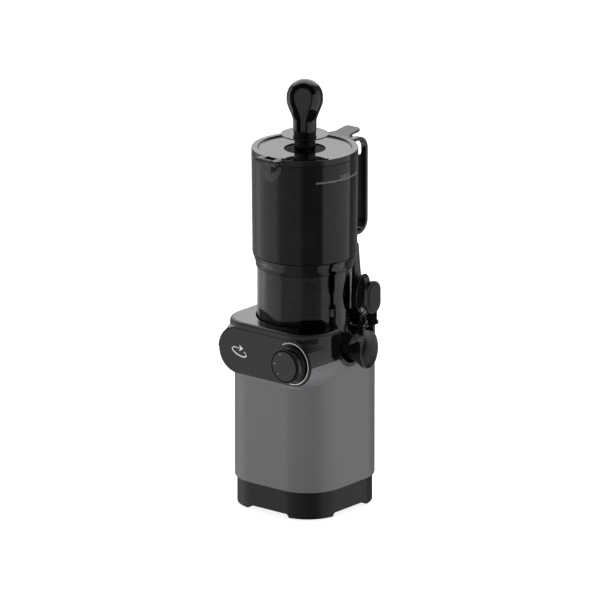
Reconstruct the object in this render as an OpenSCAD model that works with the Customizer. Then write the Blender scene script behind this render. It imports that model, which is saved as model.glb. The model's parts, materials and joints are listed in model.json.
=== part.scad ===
// Cold press juicer: a motor base with a control pod, a juicing bowl with its auger and
// strainer, a large hopper with a hinged lid, and a tamper.
// The origin is on the bowl's axis at table height. The control pod faces -Y, the spout +X.

/* [Base] */
// Half the width of the square body shell
body_half = 78.6; // [76:0.1:82]
// Corner radius of the body shell
body_corner = 51; // [40:1:56]
// Height of the body shell's bottom edge
body_bottom = 37.6; // [34:0.2:42]
// Height of the body shell's top edge
body_top = 211; // [208:0.5:214]
// Wall thickness of the casings
wall = 2.5; // [2:0.1:3]
// Height of the openings between the feet
foot_height = 6; // [4:0.5:8]
// Length of the opening between two feet
foot_gap = 68; // [50:1:80]

/* [Deck] */
// Height of the deck's top face
deck_top = 250; // [248:0.5:252]
// Distance of the deck's front face from the axis
deck_front = 82.3; // [80:0.1:84]
// Radius of the well that the bowl sits in
well_r = 62.2; // [62:0.1:63]
// Height of the riser behind the bowl
riser_top = 334; // [320:1:336]

/* [Control pod] */
// Half the width of the pod
pod_half_w = 75; // [70:0.5:78]
// Half the height of the pod
pod_half_h = 30.2; // [28:0.1:31]
// Height of the pod's centre line
pod_z = 211.7; // [210:0.1:213]
// Depth of the pod, front to back
pod_depth = 22; // [18:1:26]
// Distance of the knob's axis from the middle
knob_x = 45.5; // [42:0.5:48]
// Radius of the knob's grip
knob_r = 21; // [18:0.5:23]

/* [Bowl] */
// Outer radius of the juicing bowl
bowl_r = 60.9; // [60:0.1:61.5]
// Height of the bowl's upper edge
bowl_top = 324; // [320:1:325]
// Height of the spout's centre line
spout_z = 222.5; // [220:0.5:224]
// Distance of the spout's mouth from the axis
spout_x = 106.5; // [104:0.5:110]
// Direction of the pulp outlet, turned from +X towards +Y
pulp_turn = 18; // [15:1:20]

/* [Hopper] */
// Outer radius of the hopper at its top
hopper_r = 68.3; // [66:0.1:70]
// Outer radius of the hopper at its bottom
hopper_low_r = 67.1; // [65:0.1:68]
// Height of the hopper's upper edge
hopper_top = 465.2; // [440:0.2:470]
// Distance of the handle's outer face from the axis
handle_y = 111; // [105:0.5:116]
// Width of the handle's strap
handle_w = 28; // [24:1:32]

/* [Lid and tamper] */
// Height of the lid's rim
lid_top = 473.4; // [470:0.2:476]
// Radius of the hole in the lid
lid_hole_r = 26.6; // [24:0.1:28]
// How far the tamper's flange stands above the lid
tamper_raise = 19; // [10:1:25]
// Radius of the tamper's flange
flange_r = 30.6; // [28:0.1:33]
// Largest radius of the tamper's grip
grip_r = 23.4; // [21:0.1:25]

/* [Hidden] */
$fn = 96;
// Running clearance of pins and shafts
fit = 0.05;
// Gap between parts that only stand beside each other
gap = 0.4;

body_inner = body_half - wall;
body_inner_corner = body_corner - wall;
plinth_half = body_inner - 0.5;
plinth_corner = body_inner_corner - 0.5;
deck_front_corner = 42;
deck_back_corner = 47.4;
floor_z = 8;
floor_t = 3;
pad_at = 52;
pad_r = 9;
screw_x = 66;
screw_y = 30;
screw_r = 1.7;
well_floor = 200;
pod_face = -deck_front;
pod_back = pod_face + pod_depth;
fascia_t = 1.6;
flare_low = pod_z - pod_half_h - 5;
flare_high = pod_z + pod_half_h + 2;

// Drive train
spindle_r = 7;
stage1_module = 0.8;
stage2_module = 1.25;
pinion_teeth = 12;
stage1_teeth = 60;
stage2_teeth = 52;
counter_y = stage2_module * (pinion_teeth + stage2_teeth) / 2;
motor_y = counter_y - stage1_module * (pinion_teeth + stage1_teeth) / 2;
case_bottom = 104;
case_top = 168;
case_half_x = 42;
case_front = -40;
case_back = 72;
case_mid_y = (case_front + case_back) / 2;
shaft_r = 4;
bearing_w = 7;
pinion_shaft_r = 2.5;

// Bowl and outlets
bowl_bottom = well_floor + wall + 0.3;
bowl_floor_t = 3;
tube_r = 15.5;
tube_wall = 2.2;
mouth_half_y = 18.2;
mouth_half_z = 25;
cap_half_y = 14.2;
cap_half_z = 21.7;
cap_t = 5;
cradle_r = 22;
lip_r = 28;
juice_pin_x = spout_x + 2;
juice_pin_z = spout_z + 35.7;
pulp_pin = [63.7, 41.3, 252];
pulp_port_z = 224;
pulp_cap_r = 25.5;
pulp_cap_floor_r = 20.9;
pulp_cap_depth = 6.8;
pulp_room_r = pulp_cap_r + 1;
pulp_tube_r = 16;
pulp_slot_r = pulp_tube_r + 1.5;
pin_r = 1.6;
knuckle_r = 3;

// Hopper, lid and tamper
hopper_bottom = 327;
hopper_bend = 8;
collar_z = 319.4;
lid_under = hopper_top + gap;
lid_recess_r = 58.5;
lid_plate_z = 471.2;
hinge_y = -76;
hinge_z = 469.5;
hinge_half = 17;
barrel_r = 4;
hinge_pin_r = 1.5;
flange_top = lid_plate_z + tamper_raise + 0.7;
grip_low = flange_top + 4.4;
grip_top = 562.4;
tamper_foot_z = 380;

// Rounded square outline of a half width and a corner radius
module rounded_square(half, r) {
    square([2 * (half - r), 2 * half], center = true);
    square([2 * half, 2 * (half - r)], center = true);
    for (sx = [-1, 1], sy = [-1, 1])
        translate([sx * (half - r), sy * (half - r)]) circle(r);
}

// Rounded rectangle outline from its half sizes
module rounded_rect(hx, hy, r) {
    square([2 * (hx - r), 2 * hy], center = true);
    square([2 * hx, 2 * (hy - r)], center = true);
    for (sx = [-1, 1], sy = [-1, 1])
        translate([sx * (hx - r), sy * (hy - r)]) circle(r);
}

// Outline of the deck: like the body, but its front stands further out
module deck_outline(inset = 0) {
    rf = deck_front_corner;
    rb = deck_back_corner;
    h = body_half - inset;
    f = deck_front - inset;
    for (sx = [-1, 1]) {
        translate([sx * (body_half - rf), -(deck_front - rf)]) circle(rf - inset);
        translate([sx * (body_half - rb), body_half - rb]) circle(rb - inset);
    }
    translate([-(body_half - rf), -f]) square([2 * (body_half - rf), f]);
    translate([-(body_half - rb), 0]) square([2 * (body_half - rb), h]);
    translate([-h, -(deck_front - rf)]) square([2 * h, deck_front - rf + body_half - rb]);
}

// Stadium outline lying along X
module stadium(half_w, half_h) {
    square([2 * (half_w - half_h), 2 * half_h], center = true);
    for (s = [-1, 1])
        translate([s * (half_w - half_h), 0]) circle(half_h);
}

// A solid of the pod's outline between two distances from the axis, grown by a margin
module pod_block(front, back, grow = 0) {
    translate([0, back, pod_z]) rotate([90, 0, 0])
        linear_extrude(back - front) stadium(pod_half_w + grow, pod_half_h + grow);
}

// The room that the casings leave for the pod, clear of the well
module pod_room() {
    difference() {
        pod_block(pod_face - 1, pod_back, 0.3);
        cylinder(r = well_r + wall, h = 300);
    }
}

// Fills a casing's front corners so that they run straight back from the pod's ends.
// Its child is the casing's outline; the fill reaches from one height to another.
module pod_flare(front, low, high) {
    lip = 1.3;
    hull() {
        intersection() {
            pod_block(front, front + 0.5, lip);
            translate([-body_half, -100, low]) cube([2 * body_half, 100, high - low]);
        }
        translate([0, 0, low]) linear_extrude(high - low) children();
    }
}

// A cylinder that lies along +X
module bar_x(r, x0, x1) {
    translate([x0, 0, 0]) rotate([0, 90, 0]) cylinder(r = r, h = x1 - x0);
}

// A cylinder that lies along +Y
module bar_y(r, y0, y1) {
    translate([0, y1, 0]) rotate([90, 0, 0]) cylinder(r = r, h = y1 - y0);
}

// A ring from two radii
module ring(ro, ri, h) {
    difference() {
        cylinder(r = ro, h = h);
        translate([0, 0, -1]) cylinder(r = ri, h = h + 2);
    }
}

// Moves its children into the pulp outlet's own frame: X along the outlet, Z up
module at_pulp() {
    translate([pulp_pin.x, pulp_pin.y, 0]) rotate([0, 0, pulp_turn]) children();
}

// A spur gear outline with slim straight-sided teeth
module gear_outline(m, teeth) {
    pitch_r = m * teeth / 2;
    root_r = pitch_r - 1.15 * m;
    tip_r = pitch_r + 0.8 * m;
    step = 360 / teeth;
    polygon([for (i = [0:teeth - 1], k = [0:3])
        let (turn = [-0.29, -0.1, 0.1, 0.29][k] * step, r = (k == 0 || k == 3) ? root_r : tip_r)
        [r * cos(i * step + turn), r * sin(i * step + turn)]]);
}

module rubber_feet() {
    color("dimgray")
        for (sx = [-1, 1], sy = [-1, 1])
            translate([sx * pad_at, sy * pad_at, 0]) cylinder(r = pad_r, h = 3);
}

// The black tub under the body, cut away between its four feet
module base_plinth() {
    cut = plinth_half + 1;
    color([0.12, 0.12, 0.13]) difference() {
        translate([0, 0, 1]) linear_extrude(body_bottom + 8 - 1) rounded_square(plinth_half, plinth_corner);
        translate([0, 0, floor_z + floor_t]) linear_extrude(body_bottom)
            rounded_square(plinth_half - wall, plinth_corner - wall);
        // Room above the table between the feet, and the pockets of the foot pads
        translate([-foot_gap / 2, -cut, 0]) cube([foot_gap, 2 * cut, foot_height]);
        translate([-cut, -foot_gap / 2, 0]) cube([2 * cut, foot_gap, foot_height]);
        for (sx = [-1, 1], sy = [-1, 1]) {
            translate([sx * pad_at, sy * pad_at, 0]) cylinder(r = pad_r, h = 3);
            translate([sx * screw_x, sy * screw_y, 0]) cylinder(r = screw_r, h = 20);
        }
        // Air slots under the fan
        for (i = [-3:3])
            translate([i * 9 - 2, motor_y - 25, floor_z - 3]) cube([4, 50, floor_t + 6]);
    }
}

module plinth_screws() {
    color("silver")
        for (sx = [-1, 1], sy = [-1, 1])
            translate([sx * screw_x, sy * screw_y, foot_height]) cylinder(r = screw_r, h = 13);
}

// The grey casing, open above and below, notched for the two outlets
module body_shell() {
    color([0.42, 0.43, 0.44]) difference() {
        union() {
            difference() {
                union() {
                    translate([0, 0, body_bottom]) linear_extrude(body_top - body_bottom)
                        rounded_square(body_half, body_corner);
                    pod_flare(pod_face + 3, flare_low, body_top) rounded_square(body_half, body_corner);
                }
                translate([0, 0, body_bottom - 1]) linear_extrude(body_top)
                    rounded_square(body_inner, body_inner_corner);
            }
            // Screw bosses, each carried by a rib above the plinth
            for (sx = [-1, 1], sy = [-1, 1]) {
                translate([sx * screw_x, sy * screw_y, floor_z + floor_t]) cylinder(r = 4.5, h = 49);
                translate([sx * (screw_x + 5.5) - 5.5, sy * screw_y - 1.5, body_bottom + 9])
                    cube([11, 3, 13]);
            }
        }
        for (sx = [-1, 1], sy = [-1, 1])
            translate([sx * screw_x, sy * screw_y, 0]) cylinder(r = screw_r, h = 20);
        pod_room();
        translate([0, 0, spout_z + 1.5]) bar_x(lip_r + 0.3, 40, 90);
        at_pulp() translate([0, 0, pulp_port_z]) bar_x(pulp_room_r + 0.5, -20, 40);
        // Seat of the power inlet
        translate([-12, 60, 54]) cube([24, 30, 18]);
    }
}

// The riser's outline seen from the front, swept down into the deck
module riser_outline() {
    half = [[33, riser_top], [33.5, 318], [36, 300], [40, 284], [44, 269], [49, 258], [54, 249]];
    polygon(concat(half, [for (i = [len(half) - 1:-1:0]) [-half[i].x, half[i].y]]));
}

module top_deck() {
    rim = 5.5;
    deck_low = body_top + 0.2;
    inner = body_inner - 1;
    color([0.06, 0.06, 0.065]) difference() {
        union() {
            // Outer casing with a rounded shoulder
            difference() {
                union() {
                    translate([0, 0, deck_low]) linear_extrude(deck_top - rim - deck_low) deck_outline();
                    pod_flare(pod_face + 1, deck_low, flare_high) deck_outline();
                    hull() {
                        for (a = [0, 30, 60, 90])
                            translate([0, 0, deck_top - rim + rim * sin(a) - 0.1])
                                linear_extrude(0.1) deck_outline(rim * (1 - cos(a)), $fn = 64);
                    }
                }
                translate([0, 0, body_top - 1]) linear_extrude(deck_top - body_top - 3) deck_outline(wall);
            }
            // Spigot that drops into the body shell
            translate([0, 0, well_floor]) linear_extrude(body_top + 4 - well_floor) difference() {
                rounded_square(body_inner - 0.3, body_inner_corner - 0.3);
                rounded_square(body_inner - 3, body_inner_corner - 3);
            }
            // Well of the bowl and its floor
            translate([0, 0, well_floor]) ring(well_r + wall, well_r, deck_top - 3 - well_floor);
            translate([0, 0, well_floor]) linear_extrude(wall) rounded_square(inner, body_inner_corner - 1);
            // Seat of the upper spindle bearing
            translate([0, 0, well_floor - bearing_w]) cylinder(r = 16.5, h = bearing_w + 1);
            // Riser behind the bowl
            intersection() {
                translate([0, 79, 0]) rotate([90, 0, 0]) linear_extrude(79) riser_outline();
                translate([0, 0, deck_top - 3]) ring(78, well_r, 100);
                translate([0, 0, deck_top - 3]) linear_extrude(100) deck_outline(1);
            }
        }
        translate([0, 0, well_floor + wall]) cylinder(r = well_r, h = 75);
        translate([0, 0, 270]) cylinder(r = hopper_low_r + 1, h = 80);
        translate([0, 0, well_floor]) cylinder(r = 13.5, h = 100);
        cylinder(r = 13, h = well_floor + 1);
        pod_room();
        // Cradles of the two outlets, open at the top so that the bowl lifts out
        translate([0, 0, spout_z]) bar_x(cradle_r, 40, 90);
        translate([40, -cradle_r, spout_z]) cube([60, 2 * cradle_r, 60]);
        at_pulp() {
            translate([0, 0, pulp_port_z]) bar_x(pulp_room_r, -20, 40);
            translate([-20, -pulp_room_r, pulp_port_z]) cube([60, 2 * pulp_room_r, 90]);
            translate([0, 0, pulp_port_z]) bar_x(pulp_slot_r, -34, 0);
            translate([-34, -pulp_slot_r, pulp_port_z]) cube([34, 2 * pulp_slot_r, 110]);
        }
        // Notch over the bowl's locking lug
        rotate([0, 0, -42]) translate([55, -17, 240.5]) cube([13, 34, 20]);
    }
    // Lip of the cradle, which fills the notch in the body shell
    color([0.06, 0.06, 0.065]) difference() {
        translate([0, 0, spout_z + 1.5]) bar_x(lip_r, inner, body_half + 0.4);
        translate([0, 0, spout_z]) bar_x(cradle_r, 40, 90);
        translate([60, -40, deck_low]) cube([30, 80, 60]);
        at_pulp() translate([0, 0, pulp_port_z]) bar_x(pulp_room_r, -20, 40);
    }
}

// The pill-shaped pod on the front, open at the back
module control_pod() {
    color([0.05, 0.05, 0.055]) difference() {
        pod_block(pod_face + fascia_t, pod_back - 0.3);
        difference() {
            pod_block(pod_face + fascia_t + 2, pod_back + 1, -2.5);
            // Boss of the rotary switch
            translate([knob_x, 0, pod_z]) bar_y(9, pod_face, pod_face + 9);
        }
        translate([knob_x, 0, pod_z]) bar_y(3.2 + fit, pod_face - 1, pod_back);
        // Clear of the bowl's well
        cylinder(r = well_r + wall + 0.3, h = 300);
    }
    // Posts of the control board
    color([0.05, 0.05, 0.055])
        for (x = [-36, 22], z = [-16, 16])
            translate([x, 0, pod_z + z]) bar_y(3, pod_face + fascia_t + 1, pod_face + 8);
}

module panel_fascia() {
    color([0.22, 0.22, 0.225]) difference() {
        pod_block(pod_face, pod_face + fascia_t);
        translate([knob_x, 0, pod_z]) bar_y(3.2 + fit, pod_face - 1, pod_back);
        indicator_groove(0.8);
    }
}

// Ring sector around the knob, from upper left clockwise to the bottom
module indicator_groove(depth) {
    start = -100;
    sweep = 224;
    translate([knob_x, pod_face + depth, pod_z]) rotate([90, 0, 0]) rotate([0, 0, start])
        rotate_extrude(angle = sweep) translate([26.6, 0]) square([1, depth]);
}

module indicator_arc() {
    color("white") indicator_groove(0.8);
}

module control_board() {
    color("darkgreen") {
        translate([-40, pod_face + 8, pod_z - 20]) cube([66, 1.6, 40]);
        for (i = [0:3])
            translate([-32 + i * 14, pod_face + 9.6, pod_z - 8]) cube([8, 5, 14]);
    }
}

module rotary_switch() {
    color("dimgray") difference() {
        translate([knob_x, 0, pod_z]) bar_y(11, pod_face + 9, pod_face + 20);
        translate([knob_x, 0, pod_z]) bar_y(3.2 + fit, pod_face, pod_face + 17);
        cylinder(r = well_r + wall + 0.3, h = 300);
    }
}

module knob_shaft() {
    color("silver") translate([knob_x, 0, pod_z]) bar_y(3.2, pod_face - 8, pod_face + 13);
}

// Stepped knob: a base ring, a finely ribbed grip and a shallow dish for the cap
module speed_knob() {
    ribs = 60;
    color([0.08, 0.08, 0.085]) translate([knob_x, 0, pod_z]) difference() {
        union() {
            bar_y(24.4, pod_face - 4.4, pod_face - 0.4);
            bar_y(23, pod_face - 12, pod_face - 4.4);
            bar_y(knob_r + 1, pod_face - 15.6, pod_face - 12);
        }
        bar_y(3.2, pod_face - 8, pod_face + 1);
        bar_y(knob_r - 1, pod_face - 17, pod_face - 14.6);
        for (i = [0:ribs - 1])
            rotate([0, i * 360 / ribs, 0]) translate([23, pod_face - 11.5, 0])
                rotate([0, 45, 0]) translate([-0.4, 0, -0.4]) cube([0.8, 6.6, 0.8]);
    }
}

module knob_cap() {
    color([0.2, 0.2, 0.205]) translate([knob_x, 0, pod_z])
        bar_y(knob_r - 1, pod_face - 15.2, pod_face - 14.6);
}

module interlock_switch() {
    color("dimgray") translate([-16, 65.2, well_floor + wall]) cube([32, 7, 16]);
}

// Appliance inlet in the back wall
module power_inlet() {
    color([0.1, 0.1, 0.1]) difference() {
        translate([-12, 60, 54]) cube([24, body_half - 60, 18]);
        translate([-8, 66, 57]) cube([16, 20, 12]);
    }
    color("silver")
        for (s = [-1, 1])
            translate([s * 3.5, 0, 63]) bar_y(1.2, 65, body_half - 3);
}

module vibration_dampers() {
    color("black")
        for (sx = [-1, 1], sy = [-1, 1])
            translate([sx * 40, motor_y + sy * 40, floor_z + floor_t]) cylinder(r = 7, h = 9);
}

module motor_bracket() {
    plate_z = floor_z + floor_t + 9;
    color("silver") translate([0, motor_y, plate_z]) difference() {
        translate([-48, -48, 0]) cube([96, 96, 3]);
        translate([0, 0, -1]) cylinder(r = 24, h = 6);
    }
}

// Laminated stator with its two end housings
module motor_stator() {
    z0 = floor_z + floor_t + 12;
    color("gray") translate([0, motor_y, z0]) difference() {
        union() {
            cylinder(r = 38, h = case_bottom - z0);
            translate([0, 0, 20]) cylinder(r = 43, h = 36);
        }
        translate([0, 0, 5]) cylinder(r = 26.5, h = case_bottom - z0 - 10);
        translate([0, 0, -1]) cylinder(r = 11, h = 120);
    }
}

module motor_bearings() {
    z0 = floor_z + floor_t + 12;
    color("silver") translate([0, motor_y, 0]) {
        translate([0, 0, z0]) ring(11, shaft_r + fit, 5);
        translate([0, 0, case_bottom - 5]) ring(11, shaft_r + fit, 5);
    }
}

module motor_rotor() {
    z0 = floor_z + floor_t + 12;
    color("silver") translate([0, motor_y, 0]) {
        translate([0, 0, z0 - 9]) cylinder(r = shaft_r, h = case_bottom + 4 - z0 + 9);
        translate([0, 0, case_bottom + 4]) cylinder(r = pinion_shaft_r, h = 20);
        translate([0, 0, z0 + 16]) cylinder(r = 25.8, h = 44);
    }
}

// Axial fan under the motor bracket
module cooling_fan() {
    color("ivory") translate([0, motor_y, floor_z + floor_t + 2.5]) difference() {
        union() {
            cylinder(r = 9, h = 7);
            for (i = [0:6])
                rotate([0, 0, i * 360 / 7]) translate([0, -1, 1]) cube([21, 2, 5]);
        }
        translate([0, 0, -1]) cylinder(r = shaft_r, h = 10);
    }
}

module motor_pinion() {
    color("gold") translate([0, motor_y, 112]) difference() {
        linear_extrude(16) rotate([0, 0, 15]) gear_outline(stage1_module, pinion_teeth);
        translate([0, 0, -1]) cylinder(r = pinion_shaft_r, h = 18);
    }
}

// The big first-stage wheel and the small second-stage pinion on one shaft
module countershaft_gear() {
    color("gold") translate([0, counter_y, 0]) {
        translate([0, 0, 114]) linear_extrude(12) rotate([0, 0, -90])
            gear_outline(stage1_module, stage1_teeth);
        translate([0, 0, 126]) cylinder(r = 5, h = 8);
        translate([0, 0, 134]) linear_extrude(20) rotate([0, 0, 15])
            gear_outline(stage2_module, pinion_teeth);
        translate([0, 0, case_bottom + 4.4]) cylinder(r = shaft_r, h = case_top - case_bottom - 4.8);
    }
}

module output_gear() {
    color("gold") translate([0, 0, 136]) difference() {
        linear_extrude(16) rotate([0, 0, 90]) gear_outline(stage2_module, stage2_teeth);
        translate([0, 0, -1]) cylinder(r = spindle_r, h = 20);
        for (i = [0:5])
            rotate([0, 0, i * 60]) translate([19, 0, -1]) cylinder(r = 5, h = 20);
    }
}

// Output shaft, with a hexagon where the auger sits on it
module drive_spindle() {
    color("silver") {
        translate([0, 0, 131]) cylinder(r = spindle_r, h = 81);
        translate([0, 0, 212]) cylinder(r = 6.6, h = 26, $fn = 6);
    }
}

module gearbox_case() {
    color([0.6, 0.6, 0.62]) difference() {
        translate([0, case_mid_y, case_bottom]) linear_extrude(case_top - case_bottom)
            rounded_rect(case_half_x, (case_back - case_front) / 2, 12);
        translate([0, case_mid_y, case_bottom + 4]) linear_extrude(case_top)
            rounded_rect(case_half_x - 4, (case_back - case_front) / 2 - 4, 9);
        translate([0, motor_y, 0]) cylinder(r = 6, h = 200);
    }
    // Seat of the countershaft's lower bearing
    color([0.6, 0.6, 0.62]) translate([0, counter_y, case_bottom + 3]) ring(11, 9, 6);
}

module gearbox_cover() {
    color([0.6, 0.6, 0.62]) difference() {
        translate([0, case_mid_y, case_top]) linear_extrude(4)
            rounded_rect(case_half_x, (case_back - case_front) / 2, 12);
        translate([0, 0, case_top - 1]) cylinder(r = 13, h = 6);
        for (p = gearbox_screw_places())
            translate([p.x, p.y, case_top - 1]) cylinder(r = 1.8, h = 6);
    }
    color([0.6, 0.6, 0.62]) translate([0, counter_y, case_top - 5]) ring(11, 9, 6);
}

function gearbox_screw_places() = [for (sx = [-1, 1], sy = [-1, 1])
    [sx * (case_half_x - 5.5), case_mid_y + sy * ((case_back - case_front) / 2 - 5.5)]];

module gearbox_screws() {
    color("silver")
        for (p = gearbox_screw_places())
            translate([p.x, p.y, 0]) {
                translate([0, 0, case_top]) cylinder(r = 1.8, h = 4);
                translate([0, 0, case_top + 4]) cylinder(r = 3.2, h = 2);
            }
}

module countershaft_bearings() {
    color("silver") translate([0, counter_y, 0]) {
        translate([0, 0, case_bottom + 4]) ring(9, shaft_r + fit, 5);
        translate([0, 0, case_top - 5]) ring(9, shaft_r + fit, 5);
    }
}

module spindle_bearings() {
    color("silver") {
        translate([0, 0, case_top - 3]) ring(13, spindle_r + fit, bearing_w);
        translate([0, 0, well_floor - bearing_w]) ring(13, spindle_r + fit, bearing_w);
    }
}

module spindle_seal() {
    color("black") translate([0, 0, well_floor]) ring(13.5, spindle_r + fit, 2.4);
}

// The outer shape of one outlet tube, and its bore when shrunk by the wall
module juice_tube(r, x0, x1) {
    translate([0, 0, spout_z]) bar_x(r, x0, x1);
}

module pulp_tube(r, x0, x1) {
    at_pulp() translate([0, 0, pulp_port_z]) bar_x(r, x0, x1);
}

// Lugs that hold the two cap pins, each a pair of ears around a knuckle
module juice_lugs() {
    for (s = [-1, 1])
        difference() {
            union() {
                translate([97, s * 10 - 2, spout_z + 21.2])
                    cube([spout_x - 97.4, 4, juice_pin_z - spout_z - 17.8]);
                translate([juice_pin_x - 6, s * 10 - 2, juice_pin_z - 3.4]) cube([6, 4, 6.8]);
                translate([juice_pin_x, 0, juice_pin_z]) bar_y(3.4, s * 10 - 2, s * 10 + 2);
            }
            translate([juice_pin_x, 0, juice_pin_z]) bar_y(pin_r, -20, 20);
        }
}

module pulp_lugs() {
    at_pulp()
        for (s = [-1, 1])
            difference() {
                union() {
                    translate([-5, s * 8 - 2, pulp_port_z + 10])
                        cube([4.6, 4, pulp_pin.z - pulp_port_z - 10]);
                    translate([-5, s * 8 - 2, pulp_pin.z - 3.2]) cube([5, 4, 4.7]);
                    translate([0, 0, pulp_pin.z]) bar_y(knuckle_r, s * 8 - 2, s * 8 + 2);
                }
                translate([0, 0, pulp_pin.z]) bar_y(pin_r, -20, 20);
            }
}

module juice_bowl() {
    color([0.16, 0.16, 0.17, 0.85]) difference() {
        union() {
            translate([0, 0, bowl_bottom]) cylinder(r = bowl_r, h = bowl_top - bowl_bottom);
            // Locking lug on the front right
            intersection() {
                rotate([0, 0, -42]) translate([50, -16, 241]) cube([16, 32, 17]);
                translate([0, 0, 240]) cylinder(r = bowl_r + 3.4, h = 20);
            }
            juice_tube(tube_r, 40, 88);
            pulp_tube(pulp_tube_r, -30, 5);
            pulp_tube(19.5, 2.5, 5);
            pulp_lugs();
        }
        translate([0, 0, bowl_bottom + bowl_floor_t]) cylinder(r = bowl_r - wall, h = 200);
        cylinder(r = 11, h = 300);
        juice_tube(tube_r - tube_wall, 50, 120);
        pulp_tube(pulp_tube_r - 2, -34, 20);
    }
}

module bowl_seal() {
    color("dimgray") translate([0, 0, bowl_bottom]) ring(11, 7.4, 3);
}

// Sieve sleeve with rows of tall windows between ribs, open above
module strainer_basket() {
    cols = 12;
    rows = 3;
    pitch = 22;
    color([0.3, 0.3, 0.31]) difference() {
        translate([0, 0, 214]) cylinder(r = 51, h = 98);
        translate([0, 0, 213]) cylinder(r = 49.4, h = 100);
        for (j = [0:rows - 1], i = [0:cols / 2 - 1])
            rotate([0, 0, i * 360 / cols + 15]) translate([-60, -9, 246 + j * pitch])
                cube([120, 18, pitch - 5]);
    }
    // Legs that stand on the bowl's floor
    color([0.3, 0.3, 0.31])
        for (i = [0:3])
            rotate([0, 0, i * 90 + 60]) translate([49.6, -3, bowl_bottom + bowl_floor_t]) cube([1.3, 6, 9]);
}

// Flared mouth that clips on the spout's tube
module spout_mouth() {
    color([0.14, 0.14, 0.15]) {
        difference() {
            hull() {
                juice_tube(tube_r + 2.2, 86, 88, $fn = 32);
                mouth_slice(spout_x - 6, 6, 0);
            }
            hull() {
                juice_tube(tube_r - tube_wall, 87.9, 88.1, $fn = 32);
                mouth_slice(spout_x - 6, 8, 2.2);
            }
            juice_tube(tube_r, 80, 88);
            // Slot for the flap's arm
            translate([spout_x - 4.2, -6.6, spout_z + 18]) cube([6, 13.2, 9]);
        }
        juice_lugs();
    }
}

// A slice of the mouth's oval between two distances
module mouth_slice(x0, t, inset) {
    y = mouth_half_y - inset;
    translate([x0, 0, spout_z]) rotate([90, 0, 90])
        linear_extrude(t) rounded_rect(y, mouth_half_z - inset, y - 1, $fn = 32);
}

module juice_cap_pin() {
    color("silver") translate([juice_pin_x, 0, juice_pin_z]) bar_y(pin_r, -13, 13);
}

module pulp_cap_pin() {
    color("silver") at_pulp() translate([0, 0, pulp_pin.z]) bar_y(pin_r, -11, 11);
}

// Oval flap, standing open above its pin; its inner face looks outward
module juice_cap() {
    z = 2 * juice_pin_z - spout_z;
    x = juice_pin_x + 0.5;
    color([0.1, 0.1, 0.105]) difference() {
        union() {
            translate([x, 0, z]) rotate([90, 0, 90])
                linear_extrude(cap_t) rounded_rect(cap_half_y, cap_half_z, cap_half_y - 0.5);
            translate([x, -6, juice_pin_z]) cube([cap_t, 12, 16]);
            translate([juice_pin_x, 0, juice_pin_z]) bar_y(3.4, -6, 6);
        }
        translate([juice_pin_x, 0, juice_pin_z]) bar_y(pin_r + fit, -20, 20);
    }
}

module juice_cap_pad() {
    z = 2 * juice_pin_z - spout_z;
    color([0.2, 0.2, 0.205]) translate([juice_pin_x + 0.5 + cap_t, 0, z]) rotate([90, 0, 90])
        linear_extrude(1.2) rounded_rect(cap_half_y - 2.2, cap_half_z - 2.2, cap_half_y - 2.8);
}

// Round dished cap, standing open above its pin; its hollow looks outward
module pulp_cap() {
    z = 2 * pulp_pin.z - pulp_port_z;
    color([0.1, 0.1, 0.105]) at_pulp() difference() {
        union() {
            translate([0, 0, z]) rotate([0, 90, 0]) rotate_extrude()
                polygon([[0, -pulp_cap_depth], [pulp_cap_r - 3, -pulp_cap_depth], [pulp_cap_r, -1.6],
                    [pulp_cap_r, -gap], [pulp_cap_r - 1.2, -gap], [pulp_cap_floor_r, 1.4 - pulp_cap_depth],
                    [0, 1.4 - pulp_cap_depth]]);
            translate([-pulp_cap_depth, -5, pulp_pin.z]) cube([pulp_cap_depth - 1, 10, 7.5]);
            translate([0, 0, pulp_pin.z]) bar_y(knuckle_r, -5, 5);
        }
        translate([0, 0, pulp_pin.z]) bar_y(pin_r + fit, -20, 20);
    }
}

// Screw with a double flight on a core, hollow where the spindle's hexagon enters
module auger() {
    z0 = bowl_bottom + bowl_floor_t + 1.2;
    color([0.1, 0.1, 0.11]) difference() {
        union() {
            translate([0, 0, z0]) cylinder(r = 14, h = 4);
            translate([0, 0, z0 + 4]) cylinder(r1 = 30, r2 = 17, h = 92);
            translate([0, 0, z0 + 96]) cylinder(r1 = 17, r2 = 6, h = 20);
            translate([0, 0, z0 + 4]) linear_extrude(100, twist = 420, slices = 30, $fn = 16)
                for (s = [-1, 1])
                    translate([s * 26, 0]) square([43, 7], center = true);
        }
        translate([0, 0, z0 - 1]) cylinder(r = 7.4, h = 213.5 - z0);
        translate([0, 0, z0]) cylinder(r = 7, h = 33, $fn = 6);
    }
}

// Transparent container: a turned wall, a rounded lower corner and a floor that funnels down
module hopper() {
    t = 2.4;
    bend = hopper_bend;
    bend_at = hopper_low_r - bend;
    bend_z = hopper_bottom + bend;
    color([0.15, 0.15, 0.16, 0.85]) rotate_extrude() polygon(concat(
        [[bowl_r + 2, collar_z], [bowl_r + 2, hopper_bottom - 2]],
        [for (a = [30:15:90]) [bend_at + bend * sin(a), bend_z - bend * cos(a)]],
        [[hopper_r, hopper_top], [hopper_r - t, hopper_top]],
        [for (a = [90:-15:0]) [bend_at + (bend - t) * sin(a), bend_z - (bend - t) * cos(a)]],
        [[44, hopper_bottom + t], [40, hopper_bottom + t - 3], [40, 314], [42, 314], [42, bowl_top + 0.4],
            [bowl_r + 0.3, bowl_top + 0.4], [bowl_r + 0.3, collar_z]]));
}

// The hopper's outer wall as a solid, which the parts on it are cut by
module hopper_cone() {
    translate([0, 0, hopper_bottom + hopper_bend])
        cylinder(r1 = hopper_low_r, r2 = hopper_r, h = hopper_top - hopper_bottom - hopper_bend);
}

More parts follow.
